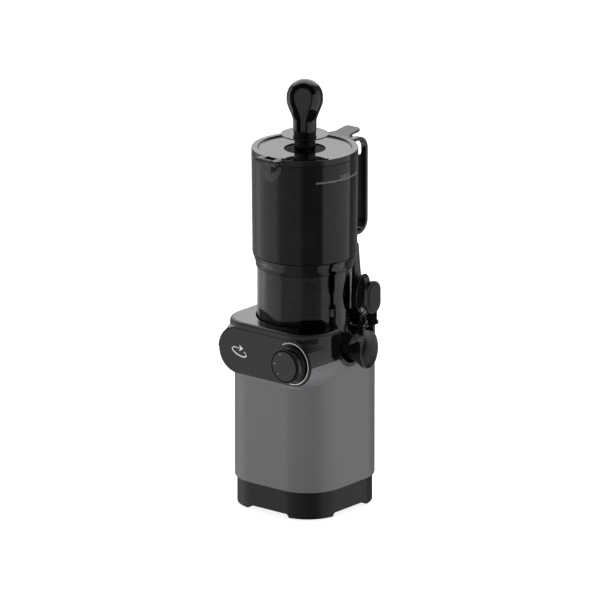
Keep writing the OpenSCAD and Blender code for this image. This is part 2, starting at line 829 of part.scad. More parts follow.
// D-shaped strap with a slot through its upper half
module hopper_handle() {
    t = 4.5;
    top = hopper_top + 2;
    low = 337.5;
    r = 18;
    start = 60;
    color([0.06, 0.06, 0.065]) difference() {
        translate([-handle_w / 2, 0, 0]) rotate([90, 0, 90]) linear_extrude(handle_w) difference() {
            handle_side(start, handle_y, low, top, r);
            handle_side(start - 10, handle_y - t, low + t, top - t, r - t);
        }
        hopper_cone();
        translate([0, 0, hopper_top - 0.2]) cylinder(r = hopper_r + 0.6, h = 10);
        translate([0, 0, 444]) bar_y(6, 74, 130);
        translate([-6, 74, 444]) cube([12, 60, 40]);
    }
}

// Side outline of the handle from y0 to y1, with both outer corners rounded
module handle_side(y0, y1, z0, z1, r) {
    translate([y0, z0]) square([y1 - r - y0, z1 - z0]);
    translate([y0, z0 + r]) square([y1 - y0, z1 - z0 - 2 * r]);
    for (z = [z0 + r, z1 - r])
        translate([y1 - r, z]) circle(r);
}

// Shield-shaped boss on the hopper's front with the middle knuckle of the lid's hinge
module hinge_boss() {
    half = 17;
    color([0.12, 0.12, 0.13]) difference() {
        union() {
            intersection() {
                translate([0, -50, 0]) rotate([90, 0, 0]) linear_extrude(30)
                    polygon([[-half, 464.8], [half, 464.8], [half - 2, 456], [half - 8, 447], [0, 440.5],
                        [-half + 8, 447], [-half + 2, 456]]);
                translate([0, 0, 430]) cylinder(r = hopper_r + 1.8, h = 60);
            }
            translate([-7.6, hinge_y - 2, 457]) cube([15.2, 10, hinge_z - 457]);
            translate([0, hinge_y, hinge_z]) bar_x(barrel_r, -7.6, 7.6);
        }
        hopper_cone();
        translate([0, 0, hopper_top - 0.4]) cylinder(r = hopper_r + 1.2, h = 20);
        translate([0, hinge_y, hinge_z]) bar_x(hinge_pin_r, -20, 20);
    }
}

module lid_hinge_pin() {
    color("silver") translate([0, hinge_y, hinge_z])
        bar_x(hinge_pin_r, gap - hinge_half, hinge_half - gap);
}

// Turned lid with a dished plate, a plug ring below, hinge leaves in front and a tab behind
module hopper_lid() {
    color([0.05, 0.05, 0.055]) difference() {
        union() {
            difference() {
                rotate_extrude() polygon([[lid_hole_r, lid_plate_z], [lid_recess_r, lid_plate_z],
                    [lid_recess_r + 2.4, lid_top], [hopper_r - 0.8, lid_top], [hopper_r, lid_top - 0.8],
                    [hopper_r, lid_under], [hopper_r - 3.4, lid_under], [hopper_r - 3.4, lid_under - 6],
                    [hopper_r - 5.4, lid_under - 6], [hopper_r - 5.4, lid_plate_z - 2.6],
                    [lid_hole_r, lid_plate_z - 2.6]]);
                translate([-7.9, -80, lid_under - 1]) cube([15.8, 15.6, 12]);
            }
            for (s = [-1, 1])
                translate([s * 12.5, 0, 0]) {
                    translate([0, hinge_y, hinge_z]) bar_x(barrel_r, -4.5, 4.5);
                    translate([-4.5, hinge_y, hinge_z - 1]) cube([9, 12, barrel_r + 0.8]);
                }
            // Thumb tab
            translate([0, 0, lid_top - 0.6]) linear_extrude(5) difference() {
                union() {
                    translate([-12, 60]) square([24, 34]);
                    translate([-6, 60]) square([12, 40]);
                    for (s = [-1, 1])
                        translate([s * 6, 94]) circle(6);
                    translate([-20, 58]) square([40, 12]);
                }
                for (s = [-1, 1])
                    translate([s * 20, 73]) circle(8);
                circle(hopper_r - 4);
            }
        }
        translate([0, hinge_y, hinge_z]) bar_x(hinge_pin_r + fit, -30, 30);
    }
}

// Height and radius of the grip's outline: a ball drawn out into a neck
function neck_r(z) = let (s = max(0, min(1, (z - 506) / 30))) 15 + (grip_r - 15) * s * s * (3 - 2 * s);

module tamper_grip() {
    ball_z = 539.5;
    color([0.05, 0.05, 0.055]) difference() {
        rotate_extrude() polygon(concat([[0, grip_low], [15, grip_low]],
            [for (z = [508:3:535]) [neck_r(z), z]],
            [for (a = [0:8:88]) [grip_r * cos(a), ball_z + (grip_top - ball_z) * sin(a)]],
            [[0, grip_top]]));
        // Thumb flat on the front
        rotate([0, 0, -60]) translate([20, -30, flange_top + 5]) cube([20, 60, 80]);
    }
}

module tamper_collar() {
    color([0.03, 0.03, 0.035]) translate([0, 0, flange_top]) cylinder(r = 14.8, h = 4.4);
}

// Flange, rod and foot of the tamper
module tamper_rod() {
    color([0.07, 0.07, 0.075]) {
        translate([0, 0, flange_top - 1.6]) cylinder(r = flange_r, h = 1.6);
        translate([0, 0, tamper_foot_z]) cylinder(r = 13.7, h = flange_top - 1 - tamper_foot_z);
        translate([0, 0, tamper_foot_z]) cylinder(r = 24, h = 5);
    }
}

rubber_feet();
base_plinth();
plinth_screws();
body_shell();
top_deck();
control_pod();
panel_fascia();
indicator_arc();
control_board();
rotary_switch();
interlock_switch();
power_inlet();
motor_bracket();
vibration_dampers();
motor_stator();
motor_bearings();
gearbox_case();
gearbox_cover();
gearbox_screws();
countershaft_bearings();
spindle_bearings();
spindle_seal();
motor_rotor();
cooling_fan();
motor_pinion();
countershaft_gear();
output_gear();
drive_spindle();
knob_shaft();
speed_knob();
knob_cap();
juice_bowl();
bowl_seal();
strainer_basket();
spout_mouth();
juice_cap_pin();
pulp_cap_pin();
auger();
juice_cap();
juice_cap_pad();
pulp_cap();
hopper();
hopper_handle();
hinge_boss();
lid_hinge_pin();
hopper_lid();
tamper_grip();
tamper_collar();
tamper_rod();
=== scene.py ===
import json
import math

import bmesh
import bpy
from mathutils import Matrix, Vector


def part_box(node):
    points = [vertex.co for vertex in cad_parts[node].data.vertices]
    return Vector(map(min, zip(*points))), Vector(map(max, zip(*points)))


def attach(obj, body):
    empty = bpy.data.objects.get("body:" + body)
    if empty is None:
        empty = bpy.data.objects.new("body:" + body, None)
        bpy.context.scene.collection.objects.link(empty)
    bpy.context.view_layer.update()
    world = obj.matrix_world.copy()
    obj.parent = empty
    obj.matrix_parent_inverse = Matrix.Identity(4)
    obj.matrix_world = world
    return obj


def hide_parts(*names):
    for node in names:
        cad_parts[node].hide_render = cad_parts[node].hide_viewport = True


# Sizes are in millimetres in the part's own frame; meshes are written in metres
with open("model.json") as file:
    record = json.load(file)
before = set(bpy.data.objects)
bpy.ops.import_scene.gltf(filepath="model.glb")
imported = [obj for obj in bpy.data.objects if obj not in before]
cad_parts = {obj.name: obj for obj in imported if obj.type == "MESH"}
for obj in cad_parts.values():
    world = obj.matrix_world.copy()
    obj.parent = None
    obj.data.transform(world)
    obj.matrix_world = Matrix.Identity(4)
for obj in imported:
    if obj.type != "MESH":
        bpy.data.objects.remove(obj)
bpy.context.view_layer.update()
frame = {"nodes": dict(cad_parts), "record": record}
MM = 0.001
# Edges that turn by more than this many degrees stay crisp
SHARP = 32


def cad_low(node):
    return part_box(node)[0] / MM


def cad_high(node):
    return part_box(node)[1] / MM


# Base
BODY_HALF = cad_high("body_shell").x
BODY_CORNER = 51
BODY_BOTTOM = 37.6
BODY_TOP = 211
BODY_FLARE_DROP = 3.7
WALL = 2.5
PLINTH_HALF = cad_high("base_plinth").x
PLINTH_TOP = cad_high("base_plinth").z
PLINTH_CORNER = 48
FOOT_GAP = 68
FOOT_HEIGHT = 6
FOOT_AT = 52
SCREW_X = 66
SCREW_Y = 30
MOTOR_Y = 11.2
# Pod and knob
FASCIA_LOW = cad_low("panel_fascia")
FASCIA_HIGH = cad_high("panel_fascia")
FASCIA_T = 1.6
POD_HALF_W = FASCIA_HIGH.x
POD_HALF_H = (FASCIA_HIGH.z - FASCIA_LOW.z) / 2
POD_Z = (FASCIA_HIGH.z + FASCIA_LOW.z) / 2
POD_FACE = FASCIA_LOW.y
POD_BACK = cad_high("control_pod").y
FLARE_LIP = 1.3
PRINT_RISE = 0.12
KNOB_X = (cad_low("knob_cap").x + cad_high("knob_cap").x) / 2
KNOB_FRONT = cad_low("speed_knob").y
KNOB_R = 21
# Deck
DECK_TOP = 250
DECK_FRONT = -POD_FACE
DECK_FRONT_CORNER = 42
DECK_BACK_CORNER = 47.4
SHOULDER = 5.5
WELL_R = 62.2
WELL_FLOOR = 200
RISER_TOP = cad_high("top_deck").z
CRADLE_R = 22
CRADLE_LIP_R = 28
SLOT_R = 17.5
# Bowl and outlets
BOWL_R = 60.9
BOWL_TOP = cad_high("juice_bowl").z
BOWL_BOTTOM = cad_low("juice_bowl").z
LUG_AZIMUTH = -42
SPOUT_Z = 222.5
CRADLE_LIP_Z = SPOUT_Z + 1.5
SPOUT_X = 106.5
TUBE_R = 15.5
TUBE_WALL = 2.2
MOUTH_HALF_Y = 18.2
MOUTH_HALF_Z = 25
PULP_PIN = Vector((63.7, 41.3, 252))
PULP_TURN = 18
PULP_PORT_Z = 224
PULP_TUBE_R = 16
PULP_BORE_R = 14
PULP_RIM_R = 19.5
PULP_CAP_R = 25.5
PULP_CAP_DEPTH = 6.8
PULP_ROOM_R = PULP_CAP_R + 1
PULP_KNUCKLE_R = 3
FLAP_PIN_X = SPOUT_X + 2
FLAP_PIN_Z = SPOUT_Z + 35.7
FLAP_KNUCKLE_R = 3.4
# Hopper, lid and tamper
HOPPER_R = 68.3
HOPPER_LOW_R = 67.1
HOPPER_BOTTOM = 327
HOPPER_TOP = cad_high("hopper").z
COLLAR_Z = cad_low("hopper").z
HANDLE_BOTTOM = cad_low("hopper_handle").z
HANDLE_HIGH = cad_high("hopper_handle")
LID_UNDER = 465.6
LID_TOP = 473.4
LID_PLATE = 471.2
LID_RECESS_R = 58.5
LID_HOLE_R = 26.6
TAB_TOP = cad_high("hopper_lid").z
HINGE_Y = -76
HINGE_Z = 469.5
BARREL_R = 4
MIDDLE_HALF = 7.6
LEAF_X = 12.5
LEAF_HALF = 4.5
FLANGE_R = cad_high("tamper_rod").x
ROD_BOTTOM = cad_low("tamper_rod").z
TAMPER_COLLAR_Z = cad_low("tamper_collar").z
GRIP_BOTTOM = cad_high("tamper_collar").z
GRIP_TOP = cad_high("tamper_grip").z
GRIP_R = 23.4
BALL_Z = 539.5
# The photograph's viewpoint, in degrees and metres
VIEW_AZIMUTH = 39.25
VIEW_ELEVATION = 17.03
VIEW_DISTANCE = 15.36
VIEW_MIDDLE = 0.256
PIXEL = 0.00128


# Mesh helpers

def link(name, data):
    obj = bpy.data.objects.new(name, data)
    bpy.context.scene.collection.objects.link(obj)
    return obj


def tidy_mesh(mesh, sharp=SHARP):
    work = bmesh.new()
    work.from_mesh(mesh)
    bmesh.ops.remove_doubles(work, verts=work.verts, dist=1e-6)
    bmesh.ops.recalc_face_normals(work, faces=work.faces)
    for face in work.faces:
        face.smooth = True
    work.to_mesh(mesh)
    work.free()
    mesh.set_sharp_from_angle(angle=math.radians(sharp))


def solid(name, verts, faces, sharp=SHARP):
    mesh = bpy.data.meshes.new(name)
    mesh.from_pydata([Vector(v) * MM for v in verts], [], faces)
    tidy_mesh(mesh, sharp)
    return link(name, mesh)


def bake(obj, sharp=SHARP):
    """Turns the object's modifiers into its mesh."""
    graph = bpy.context.evaluated_depsgraph_get()
    mesh = bpy.data.meshes.new_from_object(obj.evaluated_get(graph))
    obj.modifiers.clear()
    obj.data = mesh
    tidy_mesh(mesh, sharp)
    return obj


def boolean(obj, tool, operation):
    step = obj.modifiers.new("boolean", "BOOLEAN")
    step.object = tool
    step.operation = operation
    step.solver = "EXACT"
    bake(obj)
    bpy.data.objects.remove(tool)
    return obj


def cut(obj, *tools):
    for tool in tools:
        boolean(obj, tool, "DIFFERENCE")
    return obj


def add(obj, *tools):
    for tool in tools:
        boolean(obj, tool, "UNION")
    return obj


def bevel(obj, width, segments=3, angle=35):
    """Rounds the edges sharper than an angle, with flat faces kept flat."""
    step = obj.modifiers.new("bevel", "BEVEL")
    step.width = width * MM
    step.segments = segments
    step.limit_method = "ANGLE"
    step.angle_limit = math.radians(angle)
    step.use_clamp_overlap = True
    step.miter_outer = "MITER_ARC"
    step.harden_normals = True
    return bake(obj, 60)


def joined(name, *objs):
    """One object from several, without a boolean."""
    work = bmesh.new()
    for obj in objs:
        work.from_mesh(obj.data)
        bpy.data.objects.remove(obj)
    mesh = bpy.data.meshes.new(name)
    work.to_mesh(mesh)
    work.free()
    mesh.set_sharp_from_angle(angle=math.radians(SHARP))
    return link(name, mesh)


def move(obj, x=0, y=0, z=0):
    obj.data.transform(Matrix.Translation(Vector((x, y, z)) * MM))
    return obj


def turn(obj, degrees, axis):
    obj.data.transform(Matrix.Rotation(math.radians(degrees), 4, axis))
    return obj


def fillet(points, steps=4):
    """A closed outline whose points may carry a corner radius as a third number."""
    out = []
    for i, point in enumerate(points):
        here = Vector(point[:2])
        radius = point[2] if len(point) > 2 else 0
        before = Vector(points[i - 1][:2]) - here
        after = Vector(points[(i + 1) % len(points)][:2]) - here
        if radius <= 0:
            out.append(tuple(here))
            continue
        back = min(radius / math.tan(before.angle(after) / 2), 0.49 * before.length, 0.49 * after.length)
        a = here + before.normalized() * back
        b = here + after.normalized() * back
        for k in range(steps + 1):
            t = k / steps
            out.append(tuple(a * (1 - t) ** 2 + here * (2 * t * (1 - t)) + b * t ** 2))
    return out


def arc(cx, cy, r, start, end, steps):
    """Points on a circle from one angle to another, both included."""
    angles = [math.radians(start + (end - start) * k / steps) for k in range(steps + 1)]
    return [(cx + r * math.cos(a), cy + r * math.sin(a)) for a in angles]


def corner_outline(half_x, low_y, high_y, front_r, back_r, steps=14):
    """A rectangle with round corners, whose front and back corners may differ."""
    return (arc(half_x - front_r, low_y + front_r, front_r, -90, 0, steps)
            + arc(half_x - back_r, high_y - back_r, back_r, 0, 90, steps)
            + arc(-half_x + back_r, high_y - back_r, back_r, 90, 180, steps)
            + arc(-half_x + front_r, low_y + front_r, front_r, 180, 270, steps))


def square_outline(half, r):
    return corner_outline(half, -half, half, r, r)


def casing_outline(half_x, low_y, high_y, front_r, back_r, tip_x, tip_y):
    """A casing's outline, point by point round its normals, drawn out to a tip on each side."""
    discs = [(s * (half_x - front_r), low_y + front_r, front_r) for s in (-1, 1)]
    discs += [(s * (half_x - back_r), high_y - back_r, back_r) for s in (-1, 1)]
    if tip_x:
        discs += [(s * tip_x, tip_y, 0) for s in (-1, 1)]
    points = []
    steps = 144
    for k in range(steps):
        a = 2 * math.pi * (k + 0.5) / steps
        nx, ny = math.cos(a), math.sin(a)
        x, y, r = max(discs, key=lambda disc: disc[0] * nx + disc[1] * ny + disc[2])
        points.append((x + r * nx, y + r * ny))
    return points


def pod_reach(z):
    """How far the flare around the pod reaches sideways at a height, or 0 past its ends."""
    grown = POD_HALF_H + FLARE_LIP
    rest = grown * grown - (z - POD_Z) ** 2
    return POD_HALF_W - POD_HALF_H + math.sqrt(rest) if rest > 0 else 0


def stadium(half_w, half_h, steps=32):
    flat = half_w - half_h
    return arc(flat, 0, half_h, -90, 90, steps) + arc(-flat, 0, half_h, 90, 270, steps)


def loft(name, rings, closed=False, sharp=SHARP):
    """A skin over rings of points, capped at both ends or closed into a tube."""
    count = len(rings[0])
    verts = [p for ring in rings for p in ring]
    faces = []
    last = len(rings) if closed else len(rings) - 1
    for k in range(last):
        a, b = k * count, (k + 1) % len(rings) * count
        for i in range(count):
            j = (i + 1) % count
            faces.append((a + i, a + j, b + j, b + i))
    if not closed:
        faces.append(tuple(range(count)))
        faces.append(tuple(range((len(rings) - 1) * count, len(rings) * count)))
    return solid(name, verts, faces, sharp)


def at_z(outline, z):
    return [(x, y, z) for x, y in outline]


def prism(name, outline, z0, z1):
    return loft(name, [at_z(outline, z0), at_z(outline, z1)])


def prism_y(name, outline, y0, y1):
    """A prism along Y from an outline in X and Z."""
    return loft(name, [[(x, y, z) for x, z in outline] for y in (y0, y1)])


def prism_x(name, outline, x0, x1):
    """A prism along X from an outline in Y and Z."""
    return loft(name, [[(x, y, z) for y, z in outline] for x in (x0, x1)])


def block(name, low, high):
    outline = [(low[0], low[1]), (high[0], low[1]), (high[0], high[1]), (low[0], high[1])]
    return prism(name, outline, low[2], high[2])


def lathe(name, profile, segments=144, sharp=SHARP):
    """Turns a closed outline of radius and height around Z."""
    verts, faces, rings = [], [], []
    for r, z in profile:
        if r < 1e-6:
            rings.append([len(verts)] * segments)
            verts.append((0, 0, z))
            continue
        rings.append(list(range(len(verts), len(verts) + segments)))
        for i in range(segments):
            a = 2 * math.pi * i / segments
            verts.append((r * math.cos(a), r * math.sin(a), z))
    for k in range(len(rings)):
        a, b = rings[k], rings[(k + 1) % len(rings)]
        for i in range(segments):
            j = (i + 1) % segments
            corners = list(dict.fromkeys((a[i], a[j], b[j], b[i])))
            if len(corners) > 2:
                faces.append(tuple(corners))
    return solid(name, verts, faces, sharp)


def bar(name, r, z0, z1, segments, edge=0):
    """An upright round bar, whose ends may have soft edges."""
    return lathe(name, fillet([(0, z0), (r, z0, edge), (r, z1, edge), (0, z1)]), segments)


def along_x(obj):
    """Lays a piece made around Z along +X."""
    return turn(obj, 90, "Y")


def level_bar(name, r, x0, x1, z, segments=96, edge=0):
    """A bar along X at a height."""
    return move(along_x(bar(name, r, x0, x1, segments, edge)), 0, 0, z)


def channel(r, x0, x1, z, height):
    """Cutting tools for a channel along X with a round floor, open above."""
    return [level_bar("channel", r, x0, x1, z, 128), block("channel_top", (x0, -r, z), (x1, r, z + height))]


def forward(obj):
    """Lays a piece made around Z along -Y, on the pod's face at the knob."""
    return move(turn(obj, 90, "X"), KNOB_X, POD_FACE, POD_Z)


def knuckle_at(r, half, x, y, z, edge=0):
    """A hinge's knuckle along Y."""
    return move(turn(bar("knuckle", r, -half, half, 48, edge), 90, "X"), x, y, z)


def on_lid_hinge(name, r, x0, x1, segments, edge=0):
    """A bar on the axis of the lid's hinge."""
    return move(along_x(bar(name, r, x0, x1, segments, edge)), 0, HINGE_Y, HINGE_Z)


def at_pulp(obj, z=0):
    """Brings a piece made along X at the origin to the pulp outlet, which is turned backwards."""
    return move(turn(obj, PULP_TURN, "Z"), PULP_PIN.x, PULP_PIN.y, z)


# Materials

def nodes_of(name):
    material = bpy.data.materials.new(name)
    material.use_nodes = True
    tree = material.node_tree
    return material, tree, tree.nodes["Principled BSDF"]


def uneven(tree, shader, low, high, scale, bump=0.0):
    """Roughness, and a faint relief, that vary a little over the surface."""
    coords = tree.nodes.new("ShaderNodeTexCoord")
    noise = tree.nodes.new("ShaderNodeTexNoise")
    noise.inputs["Scale"].default_value = scale
    noise.inputs["Detail"].default_value = 3
    tree.links.new(coords.outputs["Object"], noise.inputs["Vector"])
    band = tree.nodes.new("ShaderNodeMapRange")
    band.inputs["To Min"].default_value = low
    band.inputs["To Max"].default_value = high
    tree.links.new(noise.outputs["Fac"], band.inputs["Value"])
    tree.links.new(band.outputs["Result"], shader.inputs["Roughness"])
    if bump:
        relief = tree.nodes.new("ShaderNodeBump")
        relief.inputs["Strength"].default_value = bump
        relief.inputs["Distance"].default_value = 0.0002
        tree.links.new(noise.outputs["Fac"], relief.inputs["Height"])
        tree.links.new(relief.outputs["Normal"], shader.inputs["Normal"])


def plastic(name, colour, low, high, scale, bump=0.0, ior=1.5):
    material, tree, shader = nodes_of(name)
    shader.inputs["Base Color"].default_value = (*colour, 1)
    shader.inputs["IOR"].default_value = ior
    uneven(tree, shader, low, high, scale, bump)
    return material


def metal(name, colour, low, high):
    material, tree, shader = nodes_of(name)
    shader.inputs["Base Color"].default_value = (*colour, 1)
    shader.inputs["Metallic"].default_value = 1
    uneven(tree, shader, low, high, 90, 0.1)
    return material


def smoke(name, colour, low, high):
    """Dark see-through plastic."""
    material, tree, shader = nodes_of(name)
    shader.inputs["Base Color"].default_value = (*colour, 1)
    shader.inputs["Transmission Weight"].default_value = 1
    shader.inputs["IOR"].default_value = 1.45
    uneven(tree, shader, low, high, 25)
    return material


GLOSS = plastic("gloss_black", (0.004, 0.004, 0.0042), 0.02, 0.05, 40)
GREY = plastic("grey_body", (0.131, 0.136, 0.143), 0.27, 0.33, 350, 0.05)
PLINTH = plastic("black_plinth", (0.006, 0.006, 0.0062), 0.30, 0.38, 300, 0.05, 1.38)
# Near-black with almost no reflection; besides matt parts it paints shade: the hinge's gap shadows, the thumb
# rest's rim and the ring round the knob's face
MATT_BLACK_AND_SHADE = plastic("matt_black_and_painted_shade", (0.003, 0.003, 0.003), 0.6, 0.7, 200, 0, 1.08)
# A softer black; on the deck's shoulder and the lid's hinge faces it is painted shade in place of the gloss's
# reflection
SOFT_BLACK_AND_SHADE = plastic("soft_black_and_painted_shade", (0.026, 0.026, 0.027), 0.3, 0.4, 200)
# Painted light: this opaque light grey stands for the light seen inside the spout's mouth, on its top and
# down the bowl's bore
PAINTED_LIGHT_GREY = plastic("painted_light_grey", (0.13, 0.13, 0.133), 0.25, 0.35, 200)
GRIP_FACE = plastic("grip_face", (0.022, 0.022, 0.022), 0.1, 0.14, 60)
PANEL = plastic("panel_grey", (0.005, 0.005, 0.005), 0.08, 0.12, 200)
WHITE = plastic("white_print", (0.82, 0.82, 0.82), 0.4, 0.5, 300)
PALE = plastic("pale_print", (0.24, 0.24, 0.24), 0.4, 0.5, 300)
SMOKE = smoke("smoke_hopper", (0.031, 0.031, 0.032), 0.02, 0.04)
SMOKE_BAND = smoke("smoke_band", (0.055, 0.055, 0.057), 0.02, 0.04)
SMOKE_BOWL = smoke("smoke_bowl", (0.15, 0.15, 0.154), 0.02, 0.04)
RUBBER = plastic("black_rubber", (0.012, 0.012, 0.012), 0.7, 0.85, 400, 0.2)
SIEVE = plastic("dark_sieve", (0.03, 0.03, 0.031), 0.3, 0.4, 200)
AUGER = plastic("dark_auger", (0.012, 0.012, 0.0125), 0.22, 0.3, 120)
STEEL = metal("steel", (0.55, 0.55, 0.57), 0.22, 0.34)
IRON = metal("iron_core", (0.22, 0.22, 0.23), 0.45, 0.6)
CAST = metal("die_cast", (0.5, 0.5, 0.52), 0.4, 0.52)
BOARD = plastic("board_green", (0.012, 0.09, 0.035), 0.3, 0.42, 150)
INNER = plastic("inner_plastic", (0.02, 0.02, 0.021), 0.45, 0.6, 200, 0.1)

SLOT_LOOKS = {
    "black_rubber": RUBBER, "black_plinth": PLINTH, "grey_body": GREY, "gloss_black": GLOSS,
    "panel_grey": PANEL, "white_print": WHITE, "smoke_plastic": SMOKE, "dark_sieve": SIEVE,
    "dark_auger": AUGER, "steel": STEEL, "iron_core": IRON, "die_cast": CAST,
    "board_green": BOARD, "inner_plastic": INNER}


def dress(obj, body, slot, material, *replaced):
    """Gives a piece its material, its body and the CAD nodes that it stands for; the slot is not used."""
    obj.data.materials.clear()
    obj.data.materials.append(material)
    step = obj.modifiers.new("even_shading", "WEIGHTED_NORMAL")
    step.keep_sharp = True
    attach(obj, body)
    if replaced:
        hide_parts(*replaced)
    return obj


def repaint(obj, material, chosen):
    """Gives another material to the faces that a test on their middle and normal picks."""
    obj.data.materials.append(material)
    last = len(obj.data.materials) - 1
    for face in obj.data.polygons:
        if chosen(face.center / MM, face.normal):
            face.material_index = last


def paint_cad():
    """The CAD nodes that stay take their slot's material."""
    for part in frame["record"]["subparts"]:
        mesh = frame["nodes"][part["node"]].data
        mesh.materials.clear()
        mesh.materials.append(SLOT_LOOKS[part["material_slot"]])


# Camera and studio

def camera():
    """A long lens far away, so that the object's edges stay nearly parallel."""
    azimuth = math.radians(VIEW_AZIMUTH)
    elevation = math.radians(VIEW_ELEVATION)
    right = Vector((math.cos(azimuth), math.sin(azimuth), 0))
    look = Vector((-math.sin(azimuth) * math.cos(elevation), math.cos(azimuth) * math.cos(elevation),
                   -math.sin(elevation)))
    up = right.cross(look)
    left_by, up_by = 4.8, 9.45
    aim = Vector((0, 0, VIEW_MIDDLE)) - right * left_by * PIXEL + up * up_by * PIXEL
    data = bpy.data.cameras.new("camera")
    data.lens = 720
    data.sensor_width = 36
    data.clip_end = 60
    obj = link("camera", data)
    turned = Matrix((right, up, -look)).transposed().to_4x4()
    obj.matrix_world = Matrix.Translation(aim - look * VIEW_DISTANCE) @ turned
    bpy.context.scene.camera = obj


def mapped(tree, source, low, high, smooth=False):
    """A value as a share of the way between two limits."""
    share = tree.nodes.new("ShaderNodeMapRange")
    share.inputs["From Min"].default_value = low
    share.inputs["From Max"].default_value = high
    if smooth:
        share.interpolation_type = "SMOOTHSTEP"
    tree.links.new(source, share.inputs["Value"])
    return share.outputs["Result"]


def mixed(tree, share, colour, level):
    """A colour that passes into a plain grey."""
    mix = tree.nodes.new("ShaderNodeMix")
    mix.data_type = "RGBA"
    tree.links.new(share, mix.inputs["Factor"])
    tree.links.new(colour, mix.inputs["A"])
    mix.inputs["B"].default_value = (level, level, level, 1)
    return mix.outputs["Result"]


def azimuth_of(tree, direction):
    """Azimuth from the front (-Y) towards +X, as a share of a full turn."""
    minus = tree.nodes.new("ShaderNodeMath")
    minus.operation = "MULTIPLY"
    minus.inputs[1].default_value = -1
    tree.links.new(direction.outputs["Y"], minus.inputs[0])
    turned = tree.nodes.new("ShaderNodeMath")
    turned.operation = "ARCTAN2"
    tree.links.new(direction.outputs["X"], turned.inputs[0])
    tree.links.new(minus.outputs[0], turned.inputs[1])
    return mapped(tree, turned.outputs[0], -math.pi, math.pi)


# Brightness of the surroundings, by degrees to the right of the photograph's viewpoint
STRETCHES = [(-219, 0.15), (-200, 0.12), (-170, 0.2), (-150, 0.25), (-135, 0.45), (-122, 1.0),
             (-100, 0.9), (-66, 0.88), (-56, 0.42), (-12, 0.36), (-2, 0.15), (36, 0.15), (44, 0.8),
             (104, 0.85), (112, 0.95), (118, 0.18), (140.7, 0.15)]
# Where the ceiling and the back light begin, and where they are full
CEILING_EDGE = (0.22, 0.55)
CEILING_LEVEL = 0.08
BACK_LIGHT_TOWARDS = (-0.4847, 0.5932, 0.6428)
BACK_LIGHT_EDGE = (0.73, 0.86)
BACK_LIGHT_LEVEL = 0.85
STRENGTH = 2
FLOOR_R = 9000
FLOOR_CORNERS = 48
FLOOR_GLOW = 0.85


def surroundings(tree, place):
    """Softer and darker stretches round the object, like panels around a product table."""
    ramp = tree.nodes.new("ShaderNodeValToRGB")
    tree.links.new(place, ramp.inputs["Fac"])
    bands = sorted(((a + VIEW_AZIMUTH + 180) / 360, level) for a, level in STRETCHES)
    element = ramp.color_ramp.elements
    while len(element) < len(bands):
        element.new(0.5)
    for spot, (position, level) in zip(element, bands):
        spot.position = min(max(position, 0), 1)
        spot.color = (level / STRENGTH, level / STRENGTH, level / STRENGTH, 1)
    return ramp.outputs["Color"]


def studio():
    """The stretches end overhead in a dim ceiling, and a large soft light stands behind and above."""
    bpy.context.scene.view_settings.view_transform = "Standard"
    world = bpy.data.worlds.new("studio")
    bpy.context.scene.world = world
    world.use_nodes = True
    tree = world.node_tree
    back = tree.nodes["Background"]
    coords = tree.nodes.new("ShaderNodeTexCoord")
    direction = tree.nodes.new("ShaderNodeSeparateXYZ")
    tree.links.new(coords.outputs["Generated"], direction.inputs["Vector"])
    colour = surroundings(tree, azimuth_of(tree, direction))
    overhead = mapped(tree, direction.outputs["Z"], *CEILING_EDGE, True)
    toward = tree.nodes.new("ShaderNodeVectorMath")
    toward.operation = "DOT_PRODUCT"
    toward.inputs[1].default_value = BACK_LIGHT_TOWARDS
    tree.links.new(coords.outputs["Generated"], toward.inputs[0])
    in_light = mapped(tree, toward.outputs["Value"], *BACK_LIGHT_EDGE, True)
    colour = mixed(tree, overhead, colour, CEILING_LEVEL)
    colour = mixed(tree, in_light, colour, BACK_LIGHT_LEVEL)
    tree.links.new(colour, back.inputs["Color"])
    back.inputs["Strength"].default_value = STRENGTH


def floor():
    """A glowing white floor that keeps the object's shadow and shows in no reflection."""
    last = 360 - 360 / FLOOR_CORNERS
    disc = prism("floor", arc(0, 0, FLOOR_R, 0, last, FLOOR_CORNERS - 1), -20, 0)
    material, tree, shader = nodes_of("floor_white")
    shader.inputs["Base Color"].default_value = (0.97, 0.97, 0.97, 1)
    shader.inputs["Emission Color"].default_value = (1, 1, 1, 1)
    shader.inputs["Emission Strength"].default_value = FLOOR_GLOW
    uneven(tree, shader, 0.85, 0.95, 3)
    disc.data.materials.append(material)
    disc.visible_glossy = False


# The base

def plinth():
    """The tub under the casing, with an arch on each side that leaves four feet."""
    half, corner, top = PLINTH_HALF, PLINTH_CORNER, PLINTH_TOP

    def ring(inset, z):
        return at_z(square_outline(half - inset, corner - inset), z)

    obj = loft("plinth_tub", [ring(4, 1), ring(1.2, 1), ring(0.3, 1.5), ring(0, 2.6), ring(0, top - 0.5),
                              ring(0.5, top), ring(WALL, top), ring(WALL, 11)])
    gap, reach, slope = FOOT_GAP / 2, half + 2, 2.5
    arch = fillet([(-gap, 0), (gap, 0), (gap, FOOT_HEIGHT - slope, 2), (gap - slope, FOOT_HEIGHT, 2),
                   (-gap + slope, FOOT_HEIGHT, 2), (-gap, FOOT_HEIGHT - slope, 2)])
    cut(obj, prism_y("arch", arch, -reach, reach), prism_x("arch", arch, -reach, reach))
    for sx in (-1, 1):
        for sy in (-1, 1):
            cut(obj, move(bar("pocket", 9.0, -2, 3, 64), sx * FOOT_AT, sy * FOOT_AT))
            cut(obj, move(bar("screw_hole", 1.75, 0, 20, 32), sx * SCREW_X, sy * SCREW_Y))
    pitch, half_slot, half_length = 9, 2, 25
    for i in range(-3, 4):
        cut(obj, block("slot", (i * pitch - half_slot, MOTOR_Y - half_length, 3),
                       (i * pitch + half_slot, MOTOR_Y + half_length, 15)))
    bevel(obj, 0.35, 2)
    dress(obj, "base", "black_plinth", PLINTH, "base_plinth")


